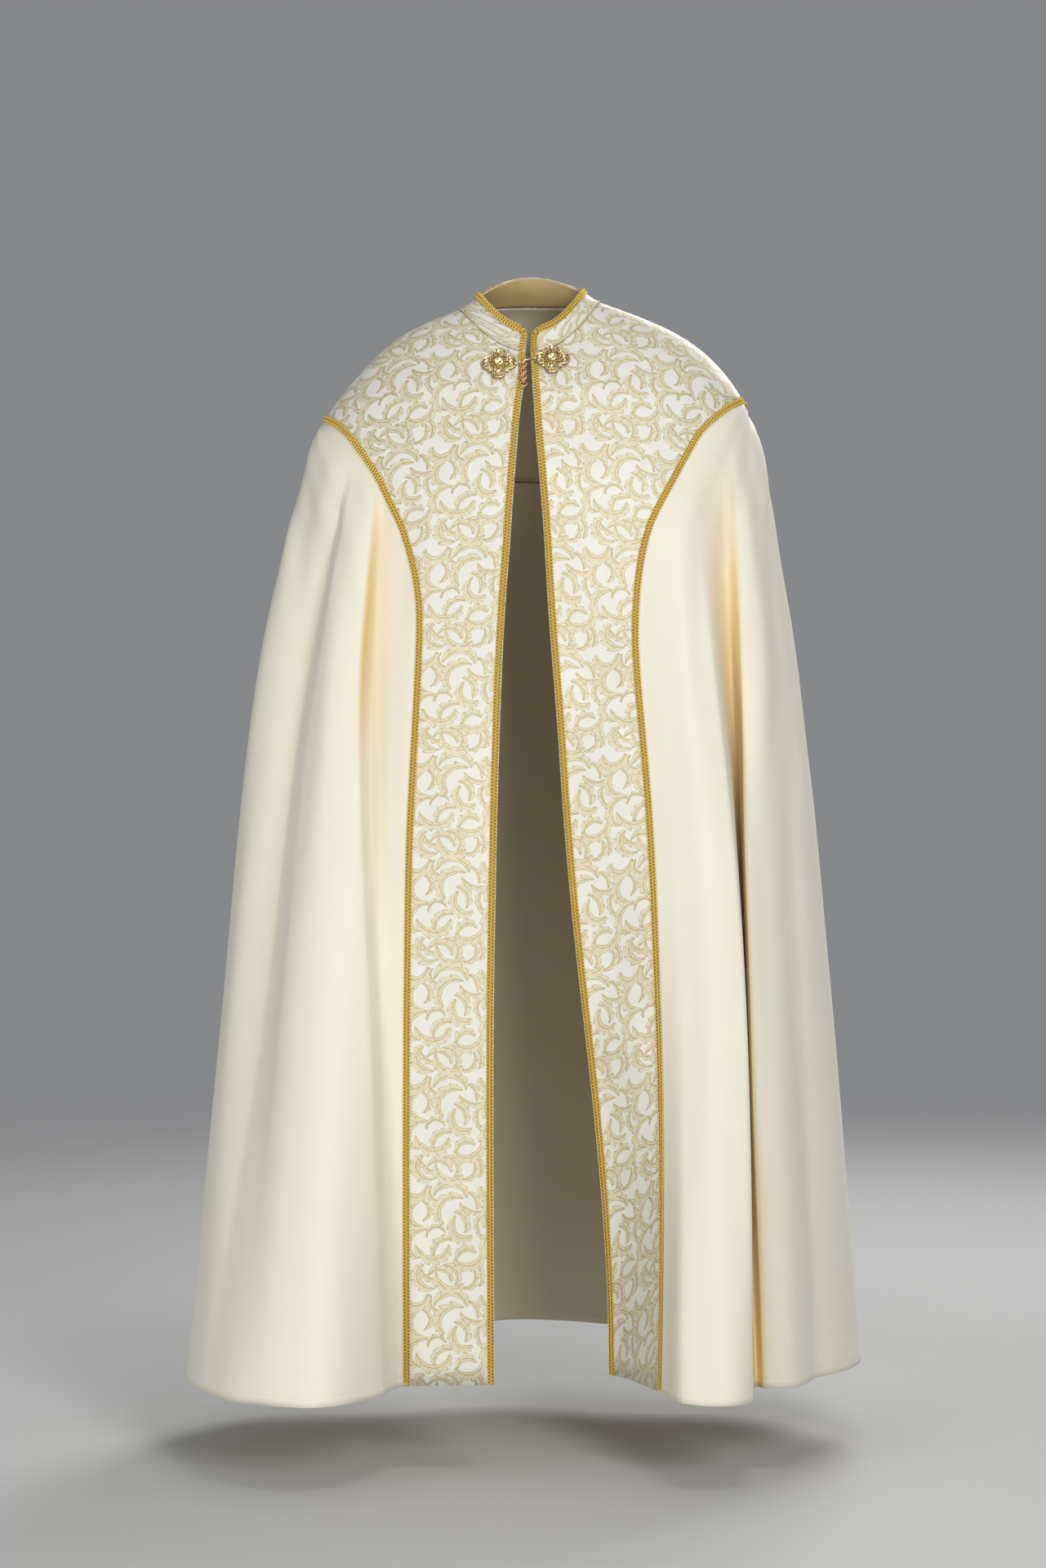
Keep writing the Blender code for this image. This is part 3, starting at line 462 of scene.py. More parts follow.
    def seam_angles(self, down: float) -> tuple:
        """Return the angles of the right and left seams between the fronts and the mantle."""
        if down <= self.yoke_down:
            return self.shoulder_seams
        key = ("seam", round(down, 6))
        if key not in self.seams:
            self.seams[key] = (self.line_angle(down, SEAM_RIGHT, -82.0, 8.0),
                               self.line_angle(down, SEAM_LEFT, 172.0, 258.0))
        return self.seams[key]

    def seam_rows(self, down: float, probe: float) -> tuple:
        """Return a distance down just above and one just below, both below the yoke."""
        return max(down - probe, self.yoke_down + self.under_yoke), down + probe

    def beside_seam(self, down: float, column: int, distance: float, limit: float = 30.0) -> float:
        """Find an angle beside a seam line, at a distance measured square to the seam.

        Args:
            down: distance down from the neck seam.
            column: 0 for the right seam, 1 for the left one.
            distance: distance towards higher angles.
            limit: the most that the distance may grow along the ring.

        Returns:
            The angle.
        """
        grown = 1.0
        if down > self.yoke_down:
            low, high = self.seam_rows(down, self.seam_probe)
            turn = (self.seam_angles(high)[column] - self.seam_angles(low)[column]) / (high - low)
            grown = min(math.hypot(1.0, turn * self.stretch(down, self.seam_angles(down)[column])), limit)
        return self.shifted(down, self.seam_angles(down)[column], distance * grown)

    def beside_seam_place(self, down: float, column: int, distance: float) -> tuple:
        """Return the distance down and the angle of a point beside a seam line, square to the seam."""
        low, high = self.seam_rows(down, self.place_probe)
        angle = self.seam_angles(down)[column]
        per_degree = self.stretch(down, angle)
        along = (self.seam_angles(high)[column] - self.seam_angles(low)[column]) * per_degree
        length = math.hypot(along, high - low)
        return down - distance * along / length, angle + distance * (high - low) / length / per_degree

    def front_row(self, down: float, side: Side) -> list:
        """Return the column angles of a front panel at one height, from low to high."""
        right_edge, left_edge = self.edge_angles(down)
        column = self.braid_width / 2 + self.seam_gap
        if side is Side.RIGHT:
            ends = [right_edge, self.shifted(down, right_edge, self.braid_width)]
            outer = [self.beside_seam(down, 0, -column, 3.0), self.beside_seam(down, 0, -self.seam_gap / 2)]
            outer[0] = min(outer[0], outer[1] - 1.0)
            return [*ends, *np.linspace(ends[1], outer[0], 5)[1:-1], *outer]
        ends = [self.shifted(down, left_edge, -self.braid_width), left_edge]
        outer = [self.beside_seam(down, 1, self.seam_gap / 2), self.beside_seam(down, 1, column, 3.0)]
        outer[1] = max(outer[1], outer[0] + 1.0)
        return [*outer, *np.linspace(outer[1], ends[0], 5)[1:-1], *ends]

    @staticmethod
    def stepped(line: dict, start: float, steps: tuple) -> list:
        """Return angles at even steps from a start through the named fold lines."""
        angles = []
        for name, count in steps:
            angles += list(np.linspace(start, line[name], count + 1)[1:])
            start = line[name]
        return angles

    def mantle_row(self, down: float) -> list:
        """Return the column angles of the mantle at one height, from low to high."""
        _, angles, _ = self.fold_lines(down)
        line = {row[0]: angle for row, angle in zip(FOLDS, angles)}
        column = self.braid_width / 2 + self.seam_gap
        start = [self.beside_seam(down, 0, self.seam_gap / 2), self.beside_seam(down, 0, column, 3.0)]
        finish = [self.beside_seam(down, 1, -column, 3.0), self.beside_seam(down, 1, -self.seam_gap / 2)]
        start[1], finish[0] = max(start[1], start[0] + 1.0), min(finish[0], finish[1] - 1.0)
        right = self.stepped(line, line["right seam"] + 1.0, MANTLE_STEPS_RIGHT)
        left = self.stepped(line, line["left seam"], MANTLE_STEPS_LEFT)
        right = [max(angle, start[1] + self.column_margin * (step + 1)) for step, angle in enumerate(right)]
        left = [min(angle, finish[0] - self.column_margin * (step + 1)) for step, angle in enumerate(left)]
        back = list(np.linspace(right[-1], left[-1], 23)[1:-1])
        return [*start, *right, *back, *left[::-1], *finish]

    def back_yoke_row(self, down: float, gap: float, columns: int) -> list:
        """Return the column angles of the back yoke at one height."""
        first, last = self.shoulder_seams
        inner = np.linspace(first, last, columns + 1)[1:-1]
        return [self.shifted(down, first, gap / 2), *inner, self.shifted(down, last, -gap / 2)]


@dataclass
class CollarForm:
    """The shape of the standing collar: an angle round the neck and up from 0 at its base to 1."""

    form: CopeForm
    base_gap: float = 0.0008
    flare: float = 0.003
    corner: float = 0.016
    corner_drop: float = 0.34
    edge_reach: float = 0.082

    def points(self, degrees, up) -> np.ndarray:
        """Return points on the outside of the collar."""
        degrees, up = np.broadcast_arrays(np.asarray(degrees, float), np.asarray(up, float))
        base = self.form.plain_ring(self.form.section(0.0), degrees)
        rim = self.form.plain_ring(COLLAR_RIM, degrees)
        right_edge, left_edge = self.form.edge_angles(0.0)
        distance = np.radians(np.minimum(degrees - right_edge, left_edge - degrees)) * self.edge_reach
        near = np.clip(distance / self.corner, 0, 1)
        share = (up * (1 - self.corner_drop * (1 - near) ** 2))[..., None]
        base = base + np.array((0, 0, self.base_gap))
        outward = unit(base * np.array((1, 1, 0)))
        return base * (1 - share) + rim * share - outward * self.flare * np.sin(math.pi * share)

    def normals(self, degrees, up) -> np.ndarray:
        """Return the outward directions of the collar."""
        degrees, up = np.broadcast_arrays(np.asarray(degrees, float), np.asarray(up, float))
        around = self.points(degrees + 0.5, up) - self.points(degrees - 0.5, up)
        rising = self.points(degrees, up + 0.02) - self.points(degrees, up - 0.02)
        return unit(np.cross(around, rising))


class Value:
    """A number that varies over a surface. Python's operators on it add Math nodes."""

    def __init__(self, shader: "Shader", socket: bpy.types.NodeSocket) -> None:
        """Keep the shader and the socket."""
        self.shader, self.socket = shader, socket

    def math(self, operation: str, *terms, clamp: bool = False) -> "Value":
        """Return this value joined with the terms by one Math node."""
        node = self.shader.add("ShaderNodeMath", {"operation": operation, "use_clamp": clamp},
                               dict(enumerate((self, *terms))))
        return Value(self.shader, node.outputs[0])

    def flipped(self, operation: str, first: float) -> "Value":
        """Return a Math node that has the number first and this value second."""
        node = self.shader.add("ShaderNodeMath", {"operation": operation}, {0: first, 1: self})
        return Value(self.shader, node.outputs[0])

    def __add__(self, other) -> "Value":
        """Return the sum."""
        return self.math("ADD", other)

    __radd__ = __add__

    def __sub__(self, other) -> "Value":
        """Return the difference."""
        return self.math("SUBTRACT", other)

    def __rsub__(self, other) -> "Value":
        """Return a number less this value."""
        return self.flipped("SUBTRACT", other)

    def __mul__(self, other) -> "Value":
        """Return the product."""
        return self.math("MULTIPLY", other)

    __rmul__ = __mul__

    def __truediv__(self, other) -> "Value":
        """Return the quotient."""
        return self.math("DIVIDE", other)

    def __rtruediv__(self, other) -> "Value":
        """Return a number divided by this value."""
        return self.flipped("DIVIDE", other)

    def __abs__(self) -> "Value":
        """Return the distance from zero."""
        return self.math("ABSOLUTE")

    def step(self, low: float, high: float) -> "Value":
        """Return 0 below low and 1 above high, with a smooth rise between them."""
        node = self.shader.add("ShaderNodeMapRange", {"interpolation_type": "SMOOTHSTEP"},
                               {"Value": self, "From Min": low, "From Max": high})
        return Value(self.shader, node.outputs[0])


class Shader:
    """A material's nodes, written as Python expressions."""

    def __init__(self, name: str) -> None:
        """Make the material with its one surface."""
        self.material = bpy.data.materials.new(name)
        self.material.use_nodes = True
        self.tree = self.material.node_tree
        self.surface = self.tree.nodes["Principled BSDF"]

    def add(self, kind: str, settings: dict, inputs: dict) -> bpy.types.Node:
        """Add one node.

        Args:
            kind: the node's type.
            settings: its own settings, set first.
            inputs: numbers, colours, values or sockets by input name or place.

        Returns:
            The node.
        """
        node = self.tree.nodes.new(kind)
        for key, setting in settings.items():
            setattr(node, key, setting)
        for key, given in inputs.items():
            given = given.socket if isinstance(given, Value) else given
            if isinstance(given, bpy.types.NodeSocket):
                self.tree.links.new(given, node.inputs[key])
            else:
                node.inputs[key].default_value = given
        return node

    def object_place(self) -> bpy.types.NodeSocket:
        """Return the Object coordinates."""
        return self.add("ShaderNodeTexCoord", {}, {}).outputs["Object"]

    def cloth_place(self) -> bpy.types.NodeSocket:
        """Return the place on the flat cloth, in metres."""
        return self.add("ShaderNodeUVMap", {"uv_map": "cloth"}, {}).outputs[0]

    def vector(self, operation: str, *terms) -> bpy.types.NodeSocket:
        """Return the result of one Vector Math node."""
        return self.add("ShaderNodeVectorMath", {"operation": operation}, dict(enumerate(terms))).outputs[0]

    def split(self, vector) -> tuple:
        """Return the three parts of a vector as values."""
        node = self.add("ShaderNodeSeparateXYZ", {}, {0: vector})
        return tuple(Value(self, socket) for socket in node.outputs)

    def attribute(self, name: str) -> Value:
        """Return one of the mesh's own values."""
        node = self.add("ShaderNodeAttribute", {"attribute_name": name}, {})
        return Value(self, node.outputs["Fac"])

    def noise(self, place, scale: float, detail: float = 2.0, roughness: float = 0.5) -> Value:
        """Return a cloudy value from 0 to 1."""
        node = self.add("ShaderNodeTexNoise", {}, {"Vector": place, "Scale": scale, "Detail": detail,
                                                   "Roughness": roughness})
        return Value(self, node.outputs[0])

    def mix(self, share, first, second) -> bpy.types.NodeSocket:
        """Return a colour between two colours."""
        first = (*first, 1.0) if isinstance(first, tuple) else first
        second = (*second, 1.0) if isinstance(second, tuple) else second
        node = self.add("ShaderNodeMix", {"data_type": "RGBA"}, {0: share, 6: first, 7: second})
        return node.outputs[2]

    def finish(self, height: Value = None, distance: float = 0.001, strength: float = 1.0,
               linked: dict = None, plain: dict = None) -> bpy.types.Material:
        """Join everything to the surface.

        Args:
            height: height of the fine relief, from 0 to 1.
            distance: depth of that relief in metres.
            strength: how strongly the relief shows.
            linked: what varies, by the surface's socket.
            plain: what is the same all over, by the surface's socket.

        Returns:
            The material.
        """
        for key, given in (linked or {}).items():
            socket = given.socket if isinstance(given, Value) else given
            self.tree.links.new(socket, self.surface.inputs[key])
        for key, given in (plain or {}).items():
            self.surface.inputs[key].default_value = given
        if height is not None:
            bump = self.add("ShaderNodeBump", {},
                            {"Height": height, "Distance": distance, "Strength": strength})
            self.tree.links.new(bump.outputs[0], self.surface.inputs["Normal"])
        return self.material


@dataclass(frozen=True)
class WoolFinish:
    """Ivory wool crepe with a fine pebble grain, with a painted warm gold shade where it lies deep in a fold.
    """

    name: str = "wool_crepe"
    light: tuple = (0.87, 0.835, 0.73)
    shade: tuple = (0.85, 0.80, 0.67)
    # painted shade: the warm gold colour of the shade deep in the folds
    deep: tuple = (0.79, 0.54, 0.155)
    roughness: float = 0.55
    grain_scale: float = 1500.0
    slub_scale: float = 420.0
    painted_shade_share: float = 0.85
    hem_stitch: float = 0.012
    stitch_width: float = 0.0012

    def make(self) -> bpy.types.Material:
        """Return the material."""
        shader = Shader(self.name)
        place = shader.object_place()
        cloudy = shader.noise(place, 9.0, 3.0)
        grain = shader.noise(place, self.grain_scale, 3.0, 0.65)
        slub = shader.noise(place, self.slub_scale, 2.0)
        colour = shader.mix(cloudy, self.light, self.shade)
        # painted shade: the mesh's fold mark mixes in the warm shade colour
        deep = shader.attribute("fold").math("MULTIPLY", self.painted_shade_share, clamp=True)
        colour = shader.mix(deep, colour, self.deep)
        colour = shader.mix(grain.step(0.25, 0.6) * 0.12, colour, self.light)
        _, down, _ = shader.split(shader.cloth_place())
        stitch = 1 - abs(down - self.hem_stitch).step(0.0, self.stitch_width)
        height = grain * 0.75 + slub * 0.25 - stitch * 0.9
        return shader.finish(height, 0.0005, 0.55,
                             {"Base Color": colour, "Roughness": self.roughness + (slub - 0.5) * 0.10},
                             {"Sheen Weight": 0.20, "Sheen Roughness": 0.45, "Specular IOR Level": 0.35})


@dataclass(frozen=True)
class BrocadeFinish:
    """Silvery ivory satin with woven pale gold leaf scrolls."""

    name: str = "leaf_brocade"
    ground: tuple = (0.85, 0.84, 0.79)
    ground_shade: tuple = (0.79, 0.775, 0.71)
    leaf: tuple = (0.74, 0.655, 0.44)
    outline: tuple = (0.43, 0.30, 0.06)
    rib_pitch: float = 1.0
    twill_pitch: float = 0.7
    waver_reach: float = 3.0
    lobe_slant: float = 0.55
    lobe_depth: float = 0.85
    inner_share: float = 0.95
    leaf_end: float = 1.04
    vein: tuple = (4.0, 0.55)
    midrib: tuple = (1.2, 0.35)
    line_middle: float = 0.55

    def leaf_value(self, shader: Shader, place, row: tuple) -> Value:
        """Return how deep a point lies inside one leaf.

        Args:
            shader: the material's nodes.
            place: place on the cloth in millimetres.
            row: the leaf's row in the table.

        Returns:
            Millimetres inside the leaf's outline or beside its veins, below 0 outside.
        """
        x, y, radius, curl, start, sweep, width, lobes = row
        half = (REPEAT[0] / 2, REPEAT[1] / 2, 1.0)
        sign = math.copysign(1, sweep)
        local = shader.vector("SUBTRACT", place, (x, y, 0.0))
        local = shader.vector("WRAP", local, half, (-half[0], -half[1], -1.0))
        right, up, _ = shader.split(local)
        length = shader.add("ShaderNodeVectorMath", {"operation": "LENGTH"}, {0: local})
        reach = Value(shader, length.outputs["Value"])
        turn = up.math("ARCTAN2", right).math("MULTIPLY_ADD", sign * 0.5 / math.pi, -start / 360 * sign)
        along = turn.math("FRACT") * (360.0 / abs(sweep))
        off = along.math("MULTIPLY_ADD", -radius * curl, radius - reach)
        side = abs(off)
        slanted = side.math("MULTIPLY_ADD", -self.lobe_slant / radius, along)
        lobe = abs((slanted * (math.pi * lobes)).math("SINE"))
        taper = ((self.leaf_end - along) * along).math("SQRT")
        outer = taper.math("MULTIPLY_ADD", lobe.math("MULTIPLY_ADD", self.lobe_depth * width, width), off)
        inner = taper * (self.inner_share * width) - off
        vein = lobe.math("MULTIPLY_ADD", *self.vein).math("MINIMUM", side.math("MULTIPLY_ADD", *self.midrib))
        return outer.math("MINIMUM", inner).math("MINIMUM", vein)

    def leaves(self, shader: Shader, scaled) -> Value:
        """Return how deep a point lies inside any leaf.

        Each leaf's place follows from the leaf before it by next to nothing, so that the renderer
        works them out one after the other and keeps few values at a time.
        """
        waver = shader.add("ShaderNodeTexNoise", {}, {"Vector": scaled, "Scale": 0.16, "Detail": 1.0})
        reach = (self.waver_reach, self.waver_reach, 0.0)
        place = shader.vector("MULTIPLY_ADD", waver.outputs["Color"], reach, scaled)
        inside = None
        for row in LEAVES:
            found = self.leaf_value(shader, place, row)
            inside = found if inside is None else inside.math("MAXIMUM", found)
            place = shader.vector("MULTIPLY_ADD", inside, (1e-7, 0.0, 0.0), place)
        return inside

    def make(self) -> bpy.types.Material:
        """Return the material."""
        shader = Shader(self.name)
        scaled = shader.add("ShaderNodeVectorMath", {"operation": "SCALE"},
                            {0: shader.cloth_place(), "Scale": 1000.0}).outputs[0]
        inside = self.leaves(shader, scaled)
        speck = shader.noise(scaled, 0.85, 2.0, 0.6)
        across, down, _ = shader.split(scaled)
        rib = abs((down / self.rib_pitch).math("FRACT") - 0.5) * 2
        twill = abs(((across + down) / self.twill_pitch).math("FRACT") - 0.5) * 2
        broken = (speck - 0.5) * 0.9
        leaf = (inside + broken).step(0.05, 0.45)
        line = 1 - abs(inside - self.line_middle + broken).step(0.15, 0.75)
        line = leaf * line * (twill.step(0.1, 0.5) * 0.5 + 0.5)
        cloudy = shader.noise(scaled, 0.02, 2.0)
        ground = shader.mix(cloudy, self.ground, self.ground_shade)
        colour = shader.mix(leaf * (rib * 0.30 + 0.62), ground, self.leaf)
        colour = shader.mix(line * (0.60 + speck * 0.40), colour, self.outline)
        height = leaf * 0.55 + line * 0.30 + leaf * rib * 0.25 + (1 - leaf) * twill * 0.18
        return shader.finish(height, 0.00035, 0.7,
                             {"Base Color": colour, "Roughness": 0.40 + leaf * 0.12 - line * 0.08,
                              "Metallic": line * 0.35 + leaf * 0.06},
                             {"Sheen Weight": 0.10, "Sheen Roughness": 0.35, "Specular IOR Level": 0.5})


@dataclass(frozen=True)
class SatinFinish:
    """Plain satin, as on the inside of the cloth and on the collar's facing."""

    name: str
    light: tuple
    shade: tuple
    cloud_scale: float = 7.0
    weave_scale: float = 1600.0
    weave_detail: float = 2.0
    roughness: float = 0.42

    def make(self) -> bpy.types.Material:
        """Return the material."""
        shader = Shader(self.name)
        place = shader.object_place()
        cloudy = shader.noise(place, self.cloud_scale, 2.0)
        weave = shader.noise(place, self.weave_scale, self.weave_detail)
        colour = shader.mix(cloudy, self.light, self.shade)
        return shader.finish(weave, 0.0002, 0.4,
                             {"Base Color": colour, "Roughness": self.roughness + weave * 0.15},
                             {"Sheen Weight": 0.15, "Sheen Roughness": 0.4})


LINING = SatinFinish("ivory_lining", (0.80, 0.73, 0.56), (0.74, 0.66, 0.48))
FACING = SatinFinish("collar_satin", (0.62, 0.46, 0.22), (0.46, 0.32, 0.13), 30.0, 1800.0, 1.0, 0.38)


@dataclass(frozen=True)
class YarnFinish:
    """Gold metal yarn of the braids."""

    name: str = "gold_yarn"
    light: tuple = (1.0, 0.80, 0.25)
    shade: tuple = (0.92, 0.64, 0.10)
    roughness: float = 0.32
    metallic: float = 0.50

    def make(self) -> bpy.types.Material:
        """Return the material."""
        shader = Shader(self.name)
        place = shader.object_place()
        strands = shader.noise(place, 2600.0, 1.0)
        cloudy = shader.noise(place, 60.0, 2.0)
        colour = shader.mix(strands * 0.7 + cloudy * 0.3, self.shade, self.light)
        return shader.finish(strands, 0.0003, 0.6,
                             {"Base Color": colour, "Roughness": self.roughness + strands * 0.12},
                             {"Metallic": self.metallic})


@dataclass(frozen=True)
class MetalFinish:
    """Polished gilt metal with fine wear, or the painted dark shade of its recesses."""

    name: str = "gilt_metal"
    light: tuple = (1.0, 0.92, 0.66)
    shade: tuple = (0.99, 0.84, 0.46)
    roughness: float = 0.20

    def make(self) -> bpy.types.Material:
        """Return the material."""
        shader = Shader(self.name)
        place = shader.object_place()
        worn = shader.noise(place, 350.0, 3.0)
        fine = shader.noise(place, 2400.0, 2.0)
        colour = shader.mix(worn, self.light, self.shade)
        return shader.finish(fine * 0.5 + worn * 0.5, 0.00015, 0.35,
                             {"Base Color": colour, "Roughness": self.roughness + worn * 0.14},
                             {"Metallic": 1.0})


def new_object(name: str, builder: bmesh.types.BMesh, materials: list,
               smooth: float = 50.0) -> bpy.types.Object:
    """Turn a bmesh into an object in the scene.

    Args:
        name: the piece's name.
        builder: the bmesh, which is freed.
        materials: its materials, in slot order.
        smooth: largest angle that is still shaded smooth, in degrees.

    Returns:
        The object, at the origin.
    """
    mesh = bpy.data.meshes.new(name)
    builder.to_mesh(mesh)
    builder.free()
    for material in materials:
        mesh.materials.append(material)
    mesh.shade_smooth()
    mesh.set_sharp_from_angle(angle=math.radians(smooth))
    piece = bpy.data.objects.new(name, mesh)
    bpy.context.scene.collection.objects.link(piece)
    return piece


def new_solid(name: str, builder: bmesh.types.BMesh, material: bpy.types.Material) -> bpy.types.Object:
    """Turn a bmesh's faces outward and make it an object."""
    bmesh.ops.recalc_face_normals(builder, faces=list(builder.faces))
    return new_object(name, builder, [material])


def circle(count: int) -> np.ndarray:
    """Return angles at even steps once round."""
    return np.linspace(0, 2 * math.pi, count + 1)[:-1]


def add_patch(builder: bmesh.types.BMesh, points: np.ndarray) -> list:
    """Add a grid and move its vertices to the points.

    Args:
        builder: the bmesh that gets it.
        points: rows by columns by three, the rows from the top down.

    Returns:
        The new vertices.
    """
    rows, columns = points.shape[:2]
    made = bmesh.ops.create_grid(builder, x_segments=columns - 1, y_segments=rows - 1, size=1.0)["verts"]
    for vertex, place in zip(made, points[::-1].reshape(-1, 3)):
        vertex.co = place
    return made


def cloth_object(name: str, points: np.ndarray, flat: np.ndarray, wall: float,
                 materials: list, marks: dict = None) -> bpy.types.Object:
    """Make a cloth sheet with a wall from a grid that is moved onto its points.

    Args:
        name: the piece's name.
        points: rows by columns by three, the rows from the top down.
        flat: rows by columns by two, the place on the flat cloth in metres.
        wall: thickness of the cloth, which lies inside the points.
        materials: the finishes of the outside and, where it differs, of the inside.
        marks: values for each point, by name.

    Returns:
        The piece.
    """
    rows, columns = points.shape[:2]
    builder = bmesh.new()
    bmesh.ops.create_grid(builder, x_segments=columns - 1, y_segments=rows - 1, size=1.0)
    piece = new_object(name, builder, materials, 180.0)
    mesh = piece.data
    mesh.vertices.foreach_set("co", points[::-1].reshape(-1).astype(np.float32))
    corners = np.zeros(len(mesh.loops), np.int32)
    mesh.loops.foreach_get("vertex_index", corners)
    layer = mesh.uv_layers.new(name="cloth")
    layer.data.foreach_set("uv", flat[::-1].reshape(-1, 2)[corners].reshape(-1).astype(np.float32))
    for key, values in (marks or {}).items():
        mark = mesh.attributes.new(key, "FLOAT", "POINT")
        mark.data.foreach_set("value", values[::-1].reshape(-1).astype(np.float32))
    mesh.update()
    solid = piece.modifiers.new("wall", "SOLIDIFY")
    solid.thickness, solid.offset, solid.use_even_offset = wall, -1.0, False
    solid.material_offset = len(materials) - 1
    return piece


def tube_points(path: np.ndarray, radius, sides: int, closed: bool, flat: float = 1.0,
                up: np.ndarray = None) -> np.ndarray:
    """Find the rings of a tube round a path.

    Args:
        path: points of the middle line.
        radius: one radius, or one for each point.
        sides: number of sides.
        closed: whether the path runs back to its first point.
        flat: height of the tube's section as a share of its width.
        up: direction of the section's height at each point, or None for any.

    Returns:
        Rings by sides + 1 by three.
    """
    path = np.asarray(path, float)
    if closed:
        path = np.concatenate((path, path[:1]))
        ahead = np.concatenate((path[1:], path[1:2]))
        behind = np.concatenate((path[-2:-1], path[:-1]))
    else:
        ahead = np.concatenate((path[1:], path[-1:]))
        behind = np.concatenate((path[:1], path[:-1]))
    tangent = unit(ahead - behind)
    if up is None:
        up = np.zeros_like(path)
        start = np.array((0, 0, 1.0)) if abs(tangent[0][2]) < 0.8 else np.array((1.0, 0, 0))
        up[0] = unit(start - tangent[0] * (start @ tangent[0]))
        for step in range(1, len(path)):
            up[step] = unit(up[step - 1] - tangent[step] * (up[step - 1] @ tangent[step]))
    elif closed and len(up) < len(path):
        up = np.concatenate((up, up[:1]))
    side = unit(np.cross(tangent, up))
    up = np.cross(side, tangent)
    radius = np.broadcast_to(np.asarray(radius, float), (len(path) - int(closed),))
    if closed:
        radius = np.concatenate((radius, radius[:1]))
    angle = np.linspace(0, 2 * math.pi, sides + 1)
    return (path[:, None] + radius[:, None, None] * (side[:, None] * np.cos(angle)[None, :, None]
                                                     + up[:, None] * np.sin(angle)[None, :, None] * flat))


def add_tube(builder: bmesh.types.BMesh, path, radius, sides: int = 8, closed: bool = False,
             flat: float = 1.0, up: np.ndarray = None) -> None:
    """Add a closed tube to a bmesh; the arguments are those of tube_points."""
    points = tube_points(np.asarray(path, float), radius, sides, closed, flat, up)
    made = add_patch(builder, points)
    edges = {edge for vertex in made for edge in vertex.link_edges}
    bmesh.ops.remove_doubles(builder, verts=made, dist=1e-6)
    if not closed:
        rims = [edge for edge in edges if edge.is_valid and edge.is_boundary]
        bmesh.ops.holes_fill(builder, edges=rims, sides=0)


def add_turned(builder: bmesh.types.BMesh, profile: tuple, place: tuple, steps: int = 20) -> None:
    """Add a shape turned round the z axis.

    Args:
        builder: the bmesh that gets it.
        profile: pairs of radius and height, from the axis and back to it.
        place: x, y and z of the shape's foot.
        steps: number of steps round.
    """
    verts = [builder.verts.new((place[0] + radius, place[1], place[2] + height))
             for radius, height in profile]
    edges = [builder.edges.new(pair) for pair in zip(verts, verts[1:])]
    bmesh.ops.spin(builder, geom=[*verts, *edges], cent=(place[0], place[1], 0), axis=(0, 0, 1),
                   angle=2 * math.pi, steps=steps, use_merge=True)
    reach = max(radius for radius, _ in profile) + 1e-5
    near = [vertex for vertex in builder.verts
            if math.hypot(vertex.co.x - place[0], vertex.co.y - place[1]) <= reach]
    bmesh.ops.remove_doubles(builder, verts=near, dist=1e-7)


class Piece:
    """What every piece of the cope shares."""

    @staticmethod
    def dress(piece: bpy.types.Object, body: Body, slot: Slot, nodes: tuple) -> bpy.types.Object:
        """Fix a piece to its body and hide the nodes that it stands for.

        Args:
            piece: the object.
            body: the body it moves with.
            slot: the record's finish; not used.
            nodes: names of the nodes that it replaces.

        Returns:
            The object.
        """
        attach(piece, body.value)
        if nodes:
            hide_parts(*nodes)
        LOG.info("%s: %d faces on %s", piece.name, len(piece.data.polygons), body.value)
        return piece


